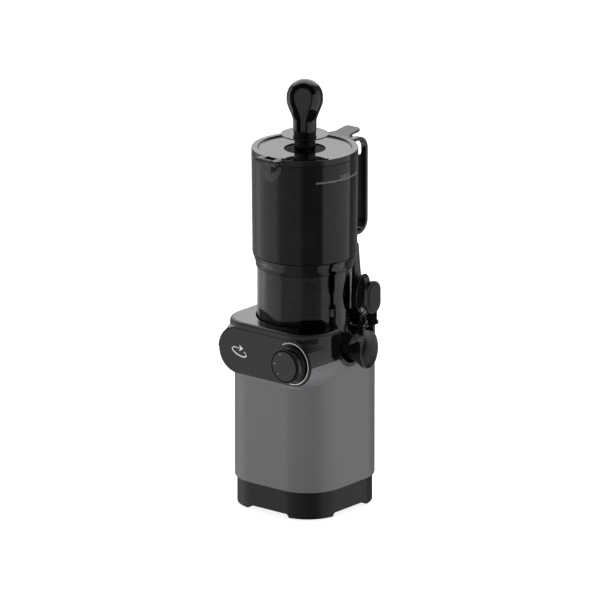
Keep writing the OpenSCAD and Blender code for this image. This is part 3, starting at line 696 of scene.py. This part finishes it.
def pod_room():
    """The space that the pod takes, short of the bowl's well."""
    outline = [(x, z + POD_Z) for x, z in stadium(POD_HALF_W + 0.3, POD_HALF_H + 0.3)]
    room = prism_y("pod_room", outline, POD_FACE - 1, POD_BACK + 0.3)
    return cut(room, bar("core", WELL_R + WALL, 100, 300, 128))


def body():
    """The casing, whose front corners flare out to carry the pod's ends."""
    def ring(inset, z, reach=0):
        half, corner = BODY_HALF - inset, BODY_CORNER - inset
        tip = reach - inset if reach else 0
        return at_z(casing_outline(half, -half, half, corner, corner, tip, POD_FACE + 3 + inset), z)

    low, top = BODY_BOTTOM, BODY_TOP
    grown = POD_HALF_H + FLARE_LIP
    flare = POD_Z - grown - BODY_FLARE_DROP
    rings = [ring(0.9, low), ring(0.25, low + 0.3), ring(0, low + 1), ring(0, flare)]
    for degrees in range(2, 88, 5):
        z = POD_Z - grown * math.cos(math.radians(degrees))
        rings.append(ring(0, z, pod_reach(z)))
    for inset, z in ((0, top - 0.8), (0.25, top - 0.2), (0.7, top)):
        rings.append(ring(inset, z, pod_reach(z)))
    rings += [ring(WALL, top), ring(WALL, low)]
    obj = loft("body_casing", rings, True)
    cradle = level_bar("cradle", CRADLE_LIP_R + 0.3, 60, 90, CRADLE_LIP_Z)
    port = at_pulp(along_x(bar("port", PULP_ROOM_R + 0.5, -20, 40, 96)), PULP_PORT_Z)
    inlet_seat = block("inlet_seat", (-12, 60, 54), (12, 90, 72))
    cut(obj, pod_room(), cradle, port, inlet_seat)
    bevel(obj, 0.3, 2)
    dress(obj, "base", "grey_body", GREY, "body_shell")


def riser():
    """The curved shield that stands up behind the bowl."""
    half = [(30.8, RISER_TOP), (33, 318), (36, 300), (40, 284), (44, 269), (49, 258), (55.5, 246)]
    outline = half + [(-x, z) for x, z in reversed(half)]
    outline = [(x, z, 3) if z == RISER_TOP else (x, z) for x, z in outline]
    obj = prism_y("riser", fillet(outline), 20, 79)
    low, step, high = 240, 271, 400
    outer, inner, low_inner = 78, HOPPER_LOW_R + 1, WELL_R + 0.2
    shell = lathe("shell", [(inner, step), (outer, step), (outer, high), (inner, high)], 192)
    low_shell = lathe("low_shell", [(low_inner, low), (outer, low), (outer, step + 0.1),
                                    (low_inner, step + 0.1)], 192)
    add(shell, low_shell)
    boolean(obj, shell, "INTERSECT")
    limit = corner_outline(BODY_HALF - 1, -DECK_FRONT + 1, BODY_HALF - 1,
                           DECK_FRONT_CORNER - 1, DECK_BACK_CORNER - 1)
    boolean(obj, prism("limit", limit, low, high), "INTERSECT")
    return obj


def deck():
    """The gloss black top with the bowl's well, the cradles of both outlets and the riser."""
    def ring(inset, z, reach=0):
        half = BODY_HALF - inset
        tip = reach - inset if reach else 0
        return at_z(casing_outline(half, -DECK_FRONT + inset, half, DECK_FRONT_CORNER - inset,
                                   DECK_BACK_CORNER - inset, tip, POD_FACE + 1 + inset), z)

    low = BODY_TOP + 0.2
    round_steps = 8
    grown = POD_HALF_H + FLARE_LIP
    rings = [ring(0.6, low, pod_reach(low)), ring(0, low + 0.6, pod_reach(low + 0.6))]
    for degrees in range(5, 90, 5):
        z = POD_Z + grown * math.sin(math.radians(degrees))
        rings.append(ring(0, z, pod_reach(z)))
    for k in range(round_steps + 1):
        a = math.pi / 2 * k / round_steps
        rings.append(ring(SHOULDER * (1 - math.cos(a)), DECK_TOP - SHOULDER + SHOULDER * math.sin(a)))
    obj = loft("deck_casing", rings)
    inside = WALL + 0.3
    spigot = prism("spigot", square_outline(BODY_HALF - inside, BODY_CORNER - inside), WELL_FLOOR, low + 1)
    lip = level_bar("lip", CRADLE_LIP_R, BODY_HALF - WALL - 1, BODY_HALF + 0.4, CRADLE_LIP_Z, 128)
    cut(lip, block("lip_top", (60, -40, low), (100, 80, 300)))
    add(obj, spigot, lip)
    pulp_room = channel(PULP_ROOM_R, -20, 60, PULP_PORT_Z, 90) + channel(SLOT_R, -34, 0, PULP_PORT_Z, 110)
    for tool in pulp_room:
        at_pulp(tool)
    notch = turn(block("notch", (55, -17, 240.5), (68, 17, 260)), LUG_AZIMUTH, "Z")
    bottom, clear, edge_r = WELL_FLOOR + WALL, 300, WELL_R + 1.2
    well = lathe("well", [(0, bottom), (WELL_R, bottom), (WELL_R, DECK_TOP - 1.2),
                          (WELL_R + 0.4, DECK_TOP - 0.35), (edge_r, DECK_TOP),
                          (edge_r, clear), (0, clear)], 192)
    hub = bar("hub", 13.5, WELL_FLOOR - 5, clear, 64)
    add(obj, riser())
    cut(obj, well, hub, pod_room(), *channel(CRADLE_R, 40, 120, SPOUT_Z, 60), *pulp_room, notch)
    bevel(obj, 0.45, 3)
    dress(obj, "base", "gloss_black", GLOSS, "top_deck")

    # The riser and the sloping faces of the shoulder take the soft black; on the shoulder it is painted
    # shade, a dark band where the gloss would reflect the back light
    def on_riser_or_shaded_shoulder(at, normal):
        return at.z > DECK_TOP + 1 or at.z > DECK_TOP - SHOULDER and 0.2 < normal.z < 0.97

    repaint(obj, SOFT_BLACK_AND_SHADE, on_riser_or_shaded_shoulder)


def pod():
    """The pill-shaped housing behind the fascia, open at its back."""
    def ring(inset, y):
        return [(x, y, z + POD_Z) for x, z in stadium(POD_HALF_W - inset, POD_HALF_H - inset, 48)]

    face = POD_FACE + FASCIA_T
    back = POD_BACK - 0.2
    obj = loft("pod_casing", [ring(0, back), ring(0, face + 1.2), ring(0.12, face + 0.6),
                              ring(0.5, face + 0.15), ring(0.9, face), ring(6, face), ring(6, back)], True)
    cut(obj, bar("well_side", WELL_R + WALL + 0.3, 100, 300, 128))
    dress(obj, "base", "gloss_black", GLOSS, "control_pod")


def fascia():
    """The flat face with a soft edge and the hole for the knob's shaft."""
    def ring(inset, depth):
        outline = stadium(POD_HALF_W - inset, POD_HALF_H - inset, 64)
        return [(x, POD_FACE + depth, z + POD_Z) for x, z in outline]

    obj = loft("fascia_plate", [ring(1.2, FASCIA_T), ring(0.35, FASCIA_T - 0.2), ring(0.15, 1.0),
                                ring(0.35, 0.35), ring(0.8, 0.08), ring(1.5, 0)])
    cut(obj, forward(bar("hole", 3.25, -5, 5, 48)))
    dress(obj, "base", "panel_grey", PANEL, "panel_fascia")


def flat_strip(name, points, widths):
    """A thin raised strip on the fascia along points in X and Z."""
    left, right = [], []
    for i, here in enumerate(points):
        a, b = Vector(points[max(i - 1, 0)]), Vector(points[min(i + 1, len(points) - 1)])
        side = (b - a).normalized().orthogonal() * widths[i] / 2
        left.append(Vector(here) + side)
        right.append(Vector(here) - side)
    outline = [(p.x, p.y) for p in left + right[::-1]]
    return prism_y(name, outline, POD_FACE - PRINT_RISE, POD_FACE + 0.2)


def indicator():
    """The white arc around the knob, which thins out clockwise."""
    steps = 90
    start, end, r = 124, -100, 27.1
    angles = [math.radians(start + (end - start) * k / steps) for k in range(steps + 1)]
    line = [(KNOB_X + r * math.cos(a), POD_Z + r * math.sin(a)) for a in angles]
    widths = [1.25 - 0.45 * k / steps for k in range(steps + 1)]
    dress(flat_strip("indicator_line", line, widths), "base", "white_print", WHITE, "indicator_arc")


def symbol():
    """The printed turning arrow: parts of a tilted oval and an arrowhead."""
    cx, cz, rx, rz = -41, 211, 11.9, 4.4
    tilt = math.radians(-17.4)
    steps = 40

    def oval(name, start, end, first, last):
        """A stretch of the oval, between two angles and two line widths."""
        spots, widths = [], []
        for k in range(steps + 1):
            a = math.radians(start + (end - start) * k / steps)
            u, v = rx * math.cos(a), rz * math.sin(a)
            spots.append((cx + u * math.cos(tilt) - v * math.sin(tilt),
                          cz + u * math.sin(tilt) + v * math.cos(tilt)))
            widths.append(first + (last - first) * k / steps)
        return flat_strip(name, spots, widths)

    head = [(-40.5, 220.2), (-34.3, 216.3), (-40.9, 212.0), (-39.9, 215.8)]
    pieces = [oval("symbol_arc", 172, 375, 1.6, 1.6), oval("symbol_tail", 160, 100, 1.2, 1.0),
              oval("symbol_dash", 52, 22, 1.0, 1.2),
              prism_y("symbol_head", head, POD_FACE - PRINT_RISE, POD_FACE + 0.2)]
    for obj in pieces:
        dress(obj, "base", "white_print", WHITE)


def knob():
    """The ribbed knob, made around Z with heights counted out of the panel."""
    out = POD_FACE - KNOB_FRONT
    skirt_r, edge_r, grip_r = 24.2, 23, 22.7
    profile = fillet([(0, 0.4), (skirt_r, 0.4, 0.4), (skirt_r, 3.6, 0.8), (edge_r, 4.4, 0.3),
                      (edge_r, 5.2, 0.2), (grip_r, 5.4, 0.2), (grip_r, out - 4.2, 0.3),
                      (edge_r, out - 4, 0.3), (edge_r, out - 2.4, 0.8), (22, out - 1.2, 0.4),
                      (KNOB_R, out - 1.1, 0.2), (0, out - 1.1)])
    obj = lathe("knob_grip", profile, 192)
    ribs = 72
    for v in obj.data.vertices:
        r = math.hypot(v.co.x, v.co.y)
        if abs(r - grip_r * MM) < 1e-6:
            wave = 1 - 0.006 * (1 + math.cos(ribs * math.atan2(v.co.y, v.co.x)))
            v.co.x *= wave
            v.co.y *= wave
    dress(forward(obj), "knob", "gloss_black", GLOSS, "speed_knob")


def knob_trim():
    """The knob's flat face, the thin ring round it and the marks on it."""
    out = POD_FACE - KNOB_FRONT
    face_r, ring_in, ring_out = 19.6, 19.7, 21.2
    face = lathe("knob_face", fillet([(0, out - 0.95), (face_r, out - 0.95, 0.2), (face_r, out - 0.45, 0.35),
                                      (19.0, out - 0.3, 0.3), (0, out - 0.3)]), 128)
    dress(forward(face), "knob", "panel_grey", PANEL, "knob_cap")
    ring = lathe("knob_ring", fillet([(ring_in, out - 1.2), (ring_out, out - 1.2), (ring_out, out - 0.6, 0.4),
                                      (20.5, out - 0.05, 0.3), (ring_in, out - 0.3, 0.2)]), 128)
    # The ring's near-black matt material is painted shade for the gap round the knob's face
    dress(forward(ring), "knob", "gloss_black", MATT_BLACK_AND_SHADE)
    half_z = 0.7
    marks = [(38.6, 226.6, 3.4), (30.0, 213.2, 3.4), (35.2, 200.6, 2.2)]
    for i, (x, z, width) in enumerate(marks):
        left, right, low, high = x - width / 2, x + width / 2, z - half_z, z + half_z
        outline = fillet([(left, low, 0.5), (right, low, 0.5), (right, high, 0.5), (left, high, 0.5)])
        mark = prism_y(f"knob_mark_{i}", outline, KNOB_FRONT + 0.2, KNOB_FRONT + 0.5)
        dress(mark, "knob", "white_print", PALE)


# The bowl

def bowl():
    """The see-through bowl with its rounded foot and both outlet tubes."""
    r, low, top, hole_r = BOWL_R, BOWL_BOTTOM, BOWL_TOP, 11
    profile = fillet([(hole_r, low, 0.2), (r - 0.4, low, 1.5), (r, low + 3), (r, top, 0.5),
                      (r - WALL, top, 0.5), (r - WALL, low + 3, 2), (hole_r, low + 3, 0.2)])
    obj = lathe("bowl_wall", profile, 192)
    tube = level_bar("tube", TUBE_R, 56, 88, SPOUT_Z)
    pulp = at_pulp(level_bar("pulp", PULP_TUBE_R, -30, 4, PULP_PORT_Z))
    rim = at_pulp(level_bar("rim", PULP_RIM_R, 2.5, 5, PULP_PORT_Z, 96, 0.5))
    bore = level_bar("bore", TUBE_R - TUBE_WALL, 50, 120, SPOUT_Z)
    pulp_bore = at_pulp(level_bar("pulp_bore", PULP_BORE_R, -34, 20, PULP_PORT_Z))
    add(obj, tube, pulp, rim)
    inside = bar("inside", r - WALL - 0.01, low + 5, top + 5, 192)
    cut(obj, inside, bore, pulp_bore)
    dress(obj, "bowl", "smoke_plastic", SMOKE_BOWL, "juice_bowl")

    def bore_with_painted_light(at, _):
        return at.x > BOWL_R + 3 and math.hypot(at.y, at.z - SPOUT_Z) < TUBE_R - 2

    # The bore's faces take the light grey as painted light, so the bore reads lit where it would be dark
    repaint(obj, PAINTED_LIGHT_GREY, bore_with_painted_light)


def bowl_trim():
    """The bowl's lock lug and the two ears that hold the pulp cap's pin."""
    lug = prism("lock_lug", corner_outline(16, 58.9, 64.2, 2, 2, 6), 240.6, 258)
    turn(lug, LUG_AZIMUTH - 90, "Z")
    bevel(lug, 0.6)
    dress(lug, "bowl", "gloss_black", MATT_BLACK_AND_SHADE)
    half = 2
    for y, side in ((-8, "right"), (8, "left")):
        ear = block(f"pulp_ear_{side}", (-5, y - half, PULP_PORT_Z + 12), (-0.4, y + half, PULP_PIN.z + 1))
        add(ear, knuckle_at(PULP_KNUCKLE_R, half, 0, y, PULP_PIN.z, 0.4))
        bevel(ear, 0.3, 2)
        at_pulp(ear)
        dress(ear, "bowl", "gloss_black", GLOSS)


def mouth_ring(x, blend, inset):
    """A ring of the spout's mouth, between the tube's circle and the wide oval."""
    steps = 72
    r = TUBE_R + TUBE_WALL - inset
    half_y, half_z = MOUTH_HALF_Y - inset, MOUTH_HALF_Z - inset
    points = []
    for k in range(steps):
        a = 2 * math.pi * k / steps
        y = (1 - blend) * r * math.cos(a) + blend * half_y * math.cos(a)
        z = (1 - blend) * r * math.sin(a) + blend * half_z * math.sin(a)
        points.append((x, y, SPOUT_Z + z))
    return points


def mouth():
    """The spout's flared oval mouth with a rounded rim, and the ears that hold its cap's pin."""
    back, lip = 86, SPOUT_X
    steps = 6

    def flare(k, inset):
        return mouth_ring(back + 3 + 11 * k / steps, (k / steps) ** 1.2, inset)

    rings = [mouth_ring(back, 0, 0), mouth_ring(89, 0.03, 0)]
    rings += [flare(k, 0) for k in range(1, steps + 1)]
    rings += [mouth_ring(lip - 1, 1, 0), mouth_ring(lip - 0.2, 1, 0.15), mouth_ring(lip, 1, 0.45),
              mouth_ring(lip, 1, 0.9), mouth_ring(lip - 0.3, 1, 1.2), mouth_ring(lip - 2, 1, 1.3)]
    rings += [flare(k, 2.3 - k / steps) for k in range(steps, 0, -1)]
    rings += [mouth_ring(88.4, 0.02, 2.3), mouth_ring(88.2, 0, 2.3), mouth_ring(back, 0, TUBE_WALL)]
    obj = loft("spout_flare", rings, True, 50)
    cut(obj, block("arm_slot", (lip - 4.2, -6.6, SPOUT_Z + 18), (lip + 2, 6.6, SPOUT_Z + 27)))
    x, z, r, half = FLAP_PIN_X, FLAP_PIN_Z, FLAP_KNUCKLE_R, 2
    for y, side in ((-10, "right"), (10, "left")):
        ear = block(f"flap_ear_{side}", (97, y - half, SPOUT_Z + 21.4), (lip - 0.4, y + half, z + r))
        arm = block("arm", (x - 6, y - half, z - r), (x, y + half, z + r))
        add(ear, arm, knuckle_at(r, half, x, y, z))
        bevel(ear, 0.5, 2)
        dress(ear, "bowl", "gloss_black", GLOSS)
    # The flare starts in the light grey of painted light, for the lit inside of the mouth
    dress(obj, "bowl", "smoke_plastic", PAINTED_LIGHT_GREY, "spout_mouth")

    # The outside turns gloss black except where it faces up: the top keeps the light grey as a painted
    # highlight
    def outside(at, normal):
        return at.y * normal.y + (at.z - SPOUT_Z) * normal.z > 0 and normal.z < 0.45

    repaint(obj, GLOSS, outside)


def flap():
    """The oval flap stands open above its pin, its inner side with the pad outwards."""
    z = 2 * FLAP_PIN_Z - SPOUT_Z
    x = FLAP_PIN_X + 0.5
    half_w, half_h = 14.2, 21.7

    def ring(inset, depth):
        r, flat = half_w - inset, half_h - half_w
        oval = arc(0, flat, r, 0, 180, 36) + arc(0, -flat, r, 180, 360, 36)
        return [(x + depth, y, z + h) for y, h in oval]

    obj = loft("flap_plate", [ring(1.4, 0), ring(0.4, 0.3), ring(0, 1.2), ring(0, 3.8), ring(0.4, 4.7),
                              ring(1.2, 5), ring(2.6, 5), ring(3.0, 4.3)])
    arm = block("arm", (x, -6, FLAP_PIN_Z), (x + 5, 6, FLAP_PIN_Z + 16))
    add(obj, arm, knuckle_at(FLAP_KNUCKLE_R, 6, FLAP_PIN_X, 0, FLAP_PIN_Z))
    bevel(obj, 0.4, 2, 50)
    dress(obj, "juice_flap", "gloss_black", GLOSS, "juice_cap")
    repaint(obj, MATT_BLACK_AND_SHADE, lambda at, _: at.z < z - 21)
    pad = loft("flap_pad", [ring(3.2, 4.2), ring(3.2, 5.6), ring(3.6, 6.05), ring(4.4, 6.2)])
    dress(pad, "juice_flap", "panel_grey", PLINTH, "juice_cap_pad")


def pulp_cap():
    """The round dished cap stands open above its pin, its hollow outwards."""
    z = 2 * PULP_PIN.z - PULP_PORT_Z
    r, depth = PULP_CAP_R, PULP_CAP_DEPTH
    floor_r, floor_x = 20.9, 1.4 - depth
    dish = lathe("pulp_dish", fillet([(0, -depth), (r - 3, -depth, 1.5), (r, -1.6, 0.8), (r, -0.4, 0.3),
                                      (r - 1.2, -0.4, 0.3), (floor_r, floor_x, 0.8), (0, floor_x)], 5), 128)
    pad_r, pad_x = floor_r - 0.6, 1.6 - depth
    pad = lathe("pulp_pad", fillet([(0, 1.3 - depth), (pad_r, 1.3 - depth), (pad_r, pad_x, 0.1),
                                    (0, pad_x)]), 128)
    for piece in (dish, pad):
        move(along_x(piece), 0, 0, z)
    arm = block("pulp_cap_arm", (-depth, -5, PULP_PIN.z), (-1, 5, PULP_PIN.z + 4.5))
    add(arm, knuckle_at(PULP_KNUCKLE_R, 5, 0, 0, PULP_PIN.z))
    bevel(arm, 0.5, 2)
    for piece in (dish, pad, arm):
        at_pulp(piece)
    dress(dish, "pulp_flap", "gloss_black", GLOSS, "pulp_cap")
    dress(pad, "pulp_flap", "gloss_black", MATT_BLACK_AND_SHADE)
    dress(arm, "pulp_flap", "gloss_black", GLOSS)


# The hopper

def hopper():
    """The hopper's wall and floor, its seam, and the collar that sits over the bowl's top."""
    r, low_r, bend = HOPPER_R, HOPPER_LOW_R, 8
    low, top, t = HOPPER_BOTTOM, HOPPER_TOP, 2.4
    seam, collar = low + 7, COLLAR_Z + 3
    sleeve_r, sleeve_in, mouth_r = BOWL_R + 2, BOWL_R + 0.3, 40
    taper = fillet([(sleeve_r, low - 8), (sleeve_r, low - 5, 8), (low_r - 0.5, seam - 1, 6),
                    (low_r - 0.4, seam - 0.2)], 5)
    outer = taper[1:] + [(low_r - 0.7, seam), (low_r - 0.7, seam + 0.5), (low_r - 0.1, seam + 0.9),
                         (low_r, seam + 1.2)]
    inner = [(low_r - bend + (bend - t) * math.sin(math.radians(a)),
              low + bend - (bend - t) * math.cos(math.radians(a))) for a in range(90, -1, -6)]
    profile = ([(BOWL_R + 1.2, collar), (sleeve_r, collar + 0.8), (sleeve_r, low - 8)] + outer
               + [(r, top - 0.4), (r - 0.4, top), (r - t + 0.4, top), (r - t, top - 0.4)] + inner
               + [(mouth_r + 4, low + t), (mouth_r + 0.4, low + t - 2.7), (mouth_r, low + t - 3.4),
                  (mouth_r, 314), (mouth_r + 2, 314), (mouth_r + 2, BOWL_TOP + 0.4),
                  (sleeve_in, BOWL_TOP + 0.4), (sleeve_in, collar + 0.5)])
    obj = lathe("hopper_wall", profile, 192)
    dress(obj, "hopper_body", "smoke_plastic", SMOKE, "hopper")

    def outward(at):
        return math.hypot(at.x, at.y) > BOWL_R + 1

    def on_band(at, normal):
        return outward(at) and at.z < seam - 0.1 and normal.z < 0.5

    def in_groove(at, _):
        return outward(at) and (seam - 0.1 < at.z < seam + 0.6 or at.z < collar + 0.7)

    repaint(obj, SMOKE_BAND, on_band)
    repaint(obj, MATT_BLACK_AND_SHADE, in_groove)


def wall_r(z):
    """Radius of the hopper's outer wall at a height."""
    low = HOPPER_BOTTOM + 8
    return HOPPER_LOW_R + (HOPPER_R - HOPPER_LOW_R) * (z - low) / (HOPPER_TOP - low)


def ticks():
    """Level marks printed on the hopper: a row of short strokes with longer ones between."""
    work = []
    z = 443
    first, last, count = 51.5, 118, 80
    long_from, long_to = 36, 52
    half = 0.2
    r = wall_r(z) + 0.05
    for i in range(count):
        degrees = first + (last - first) * i / (count - 1) - 90
        long = long_from <= i <= long_to and i % 2 == 0
        height = 7.4 if long else 2.6
        stroke = block(f"stroke_{i}", (r - 0.1, -half, z - 0.6), (r + 0.06, half, z - 0.6 + height))
        work.append(turn(stroke, degrees, "Z"))
    obj = joined("level_marks", *work)
    dress(obj, "hopper_body", "white_print", PALE)


def handle():
    """The strap behind the hopper, cut out at its top for the lid's tab."""
    half, t, r = HANDLE_HIGH.x, 4.5, 18
    low, top, back = HANDLE_BOTTOM, HANDLE_HIGH.z, HANDLE_HIGH.y
    root_y, slot_y, slot_z, slot_half = 58, 74, 444, 6

    def side(y, z0, z1, radius):
        return ([(root_y, z0)] + arc(y - radius, z0 + radius, radius, -90, 0, 16)
                + arc(y - radius, z1 - radius, radius, 0, 90, 16) + [(root_y, z1)])

    obj = prism_x("handle_strap", side(back, low, top, r), -half, half)
    hollow = [(y - 10 if y < 60 else y, z) for y, z in side(back - t, low + t, top - t, r - t)]
    cut(obj, prism_x("inside", hollow, -half - 5, half + 5))
    cone = lathe("cone", [(0, low - 20), (HOPPER_LOW_R - 0.2, low - 20), (HOPPER_LOW_R, 335),
                          (HOPPER_R, HOPPER_TOP), (0, HOPPER_TOP)], 192)
    slot = turn(bar("slot", slot_half, slot_y, 130, 64), -90, "X")
    slot_top = block("slot_top", (-slot_half, slot_y, slot_z), (slot_half, slot_y + 60, 500))
    lid_room = bar("lid_room", HOPPER_R + 0.6, HOPPER_TOP - 0.2, HOPPER_TOP + 10, 192)
    cut(obj, cone, move(slot, 0, 0, slot_z), slot_top, lid_room)
    bevel(obj, 0.9, 3)
    dress(obj, "hopper_body", "gloss_black", GLOSS, "hopper_handle")


def hinge():
    """The shield-shaped boss that carries the hinge's middle knuckle."""
    half, low, above = 17, 430, 490
    shield = fillet([(-half, 464.8), (half, 464.8), (half - 1, 456, 6), (half - 8, 446, 6), (0, 441, 6),
                     (-half + 8, 446, 6), (-half + 1, 456, 6)], 6)
    obj = prism_y("hinge_shield", shield, -80, -50)
    limit = lathe("outside", [(0, low), (HOPPER_R + 1.4, low), (HOPPER_R + 1.8, above), (0, above)], 192)
    boolean(obj, limit, "INTERSECT")
    post = block("post", (-MIDDLE_HALF, HINGE_Y - 2, 457), (MIDDLE_HALF, HINGE_Y + 8, HINGE_Z))
    add(obj, post, on_lid_hinge("knuckle", BARREL_R, -MIDDLE_HALF, MIDDLE_HALF, 64, 0.4))
    cone = lathe("cone", [(0, low), (wall_r(low), low), (HOPPER_R, HOPPER_TOP), (0, HOPPER_TOP)], 192)
    cut(obj, cone, bar("lid_room", HOPPER_R + 1.2, HOPPER_TOP - 0.4, above, 192))
    bevel(obj, 0.35, 2)
    dress(obj, "hopper_body", "gloss_black", SOFT_BLACK_AND_SHADE, "hinge_boss")


# The lid

def lid_profile():
    """The lid's turned outline: hole, sunken plate, raised rim and the skirt inside the hopper."""
    r, in_r, skirt_r = HOPPER_R, HOPPER_R - 3.4, HOPPER_R - 5.4
    skirt_low, plate_low = LID_UNDER - 6, LID_PLATE - 2.6
    return fillet([(LID_HOLE_R, LID_PLATE, 0.5), (LID_RECESS_R, LID_PLATE, 1.2),
                   (LID_RECESS_R + 2.4, LID_TOP, 0.8), (r, LID_TOP, 0.9), (r, LID_UNDER, 0.3),
                   (in_r, LID_UNDER, 0.2), (in_r, skirt_low, 0.3), (skirt_r, skirt_low, 0.3),
                   (skirt_r, plate_low, 0.5), (LID_HOLE_R, plate_low, 0.5)], 5)


def thumb_tab():
    """The tab at the back, narrow at its waist and sloping up to its end."""
    half, waist, top = 20, 12.2, TAB_TOP
    outline = fillet([(-half, 62), (half, 62), (half, 66, 4), (waist, 76, 8), (waist, 100, 6.5),
                      (-waist, 100, 6.5), (-waist, 76, 8), (-half, 66, 4)], 10)
    side = [(58, LID_TOP - 2), (70, LID_TOP - 2), (101, top - 3.4), (101, top),
            (66, LID_TOP + 0.2), (58, LID_TOP + 0.2)]
    tab = prism("tab", outline, 460, 490)
    boolean(tab, prism_x("tab_side", side, -30, 30), "INTERSECT")
    return cut(tab, bar("tab_room", HOPPER_R - 4, 460, 480, 128))


def lid():
    """The lid with the two outer knuckles of its hinge, the thumb tab, the ends of the pin and a painted gap
    shadow at each end of the barrel.
    """
    obj = lathe("lid_disc", lid_profile(), 192)
    cut(obj, block("hinge_room", (-7.9, -80, LID_UNDER - 1), (7.9, -64.4, 480)))
    for middle in (-LEAF_X, LEAF_X):
        left, right = middle - LEAF_HALF, middle + LEAF_HALF
        leaf = block("leaf", (left, HINGE_Y, HINGE_Z - 1), (right, HINGE_Y + 12, HINGE_Z + 3.6))
        add(obj, leaf, on_lid_hinge("knuckle", BARREL_R, left, right, 64, 0.4))
    add(obj, thumb_tab())
    bevel(obj, 0.4, 2)
    dress(obj, "lid", "gloss_black", GLOSS, "hopper_lid")
    # Painted shade: the lid's faces at the hinge take the soft black, so they stay dark instead of reflecting
    # the back light
    repaint(obj, SOFT_BLACK_AND_SHADE, lambda at, _: at.y < HINGE_Y + 12 and abs(at.x) < 18)
    for side, x in (("left", -17.2), ("right", 17)):
        # A thin near-black ring at each end of the barrel is a painted gap shadow
        ring = on_lid_hinge(f"hinge_gap_shadow_{side}", BARREL_R - 0.4, x, x + 0.2, 48)
        dress(ring, "lid", "gloss_black", MATT_BLACK_AND_SHADE)
        head = on_lid_hinge(f"hinge_pin_head_{side}", 1.3, x - 0.15, x + 0.35, 48, 0.1)
        dress(head, "lid", "steel", STEEL)


# The tamper

def eased(share):
    """A share kept between 0 and 1 that starts and ends softly."""
    share = max(0, min(1, share))
    return share * share * (3 - 2 * share)


def grip_radius(z):
    """Outline of the grip: a neck that opens into a ball."""
    neck_r, neck_top, swell_top = 15, 506, 536
    if z >= BALL_Z:
        share = min(1, (z - BALL_Z) / (GRIP_TOP - BALL_Z))
        return GRIP_R * math.sqrt(max(0, 1 - share * share))
    return neck_r + (GRIP_R - neck_r) * eased((z - neck_top) / (swell_top - neck_top))


# The drop-shaped thumb rest, as a distance to the side and a height
DROP_Z = 543.5
DROP_R = 12.2
DROP_LOW = 508
DROP_NECK = 4.2
DROP_DEPTH = 17.6


def drop_edge(h, z):
    """Distance outside the drop's outline, negative inside it."""
    if z >= DROP_Z:
        return math.hypot(h, z - DROP_Z) - DROP_R
    half = DROP_NECK + (DROP_R - DROP_NECK) * eased((z - DROP_LOW) / (DROP_Z - DROP_LOW))
    return abs(h) - half


def drop_floor(z):
    """How far out of the grip's axis the thumb rest's floor lies at a height."""
    floor = DROP_DEPTH - 5.2 * eased((DROP_Z - z) / 34)
    if z > DROP_Z - 6:
        floor = min(floor, DROP_DEPTH - 0.14 * (z - DROP_Z + 6))
    return floor


def grip():
    """The grip is a fine turned mesh; the thumb rest is pressed into its front."""
    top, low = GRIP_TOP, GRIP_BOTTOM
    heights = [low + (BALL_Z - low) * k / 90 for k in range(91)]
    heights += [BALL_Z + (top - BALL_Z) * math.sin(math.radians(90 * k / 50)) for k in range(1, 51)]
    profile = [(0, low)] + [(grip_radius(z), z) for z in heights[:-1]] + [(0, top)]
    obj = lathe("grip_ball", profile, 256, 80)
    facing = math.radians(30)
    out = Vector((math.sin(facing), -math.cos(facing), 0))
    side = Vector((math.cos(facing), math.sin(facing), 0))
    ridge_top = 556
    for v in obj.data.vertices:
        p = v.co / MM
        depth = p.dot(out)
        if depth < 4:
            continue
        d = drop_edge(p.dot(side), p.z)
        push = max(0, depth - drop_floor(p.z)) * eased((0.4 - d) / 1.0)
        ridge = 0.35 * math.exp(-((d - 0.9) / 0.8) ** 2) if p.z < ridge_top else 0
        v.co = (p - out * push + Vector((p.x, p.y, 0)).normalized() * ridge) * MM
    dress(obj, "tamper", "gloss_black", GLOSS, "tamper_grip")

    def in_rest(at, _):
        return at.dot(out) >= 2 and drop_edge(at.dot(side), at.z) < -0.9

    # Painted shade: a near-black band round the thumb rest, wide on its left and across its top and thin on
    # its right
    def rest_rim_painted_shade(at, _):
        h = at.dot(side)
        band = 4.5 if h < 0 or at.z > 547 else 0.8
        return at.dot(out) >= 2 and -0.9 <= drop_edge(h, at.z) < band

    repaint(obj, GRIP_FACE, in_rest)
    repaint(obj, MATT_BLACK_AND_SHADE, rest_rim_painted_shade)


def tamper():
    """The collar below the grip, and the rod with its flange and foot."""
    low, r, groove_r, top_r = TAMPER_COLLAR_Z, 14.4, 14.0, 14.8
    collar = lathe("grip_collar", fillet([(0, low), (r, low, 0.3), (r, low + 2.9, 0.2),
                                          (groove_r, low + 3.1, 0.1), (groove_r, low + 3.4, 0.1),
                                          (top_r, low + 3.6, 0.2), (top_r, low + 4.4),
                                          (0, low + 4.4)]), 128)
    dress(collar, "tamper", "gloss_black", GLOSS, "tamper_collar")
    foot, foot_r, rod_r, flange = ROD_BOTTOM, 24, 13.7, low - 1.6
    rod = lathe("tamper_shaft", fillet([(0, foot), (foot_r, foot, 1.2), (foot_r, foot + 5, 1.2),
                                        (rod_r, foot + 5, 1), (rod_r, flange, 0.5), (FLANGE_R, flange, 0.5),
                                        (FLANGE_R, low, 0.5), (0, low)]))
    dress(rod, "tamper", "gloss_black", GLOSS, "tamper_rod")


camera()
studio()
floor()
paint_cad()
plinth()
body()
deck()
pod()
fascia()
indicator()
symbol()
knob()
knob_trim()
bowl()
bowl_trim()
mouth()
flap()
pulp_cap()
hopper()
ticks()
handle()
hinge()
lid()
grip()
tamper()
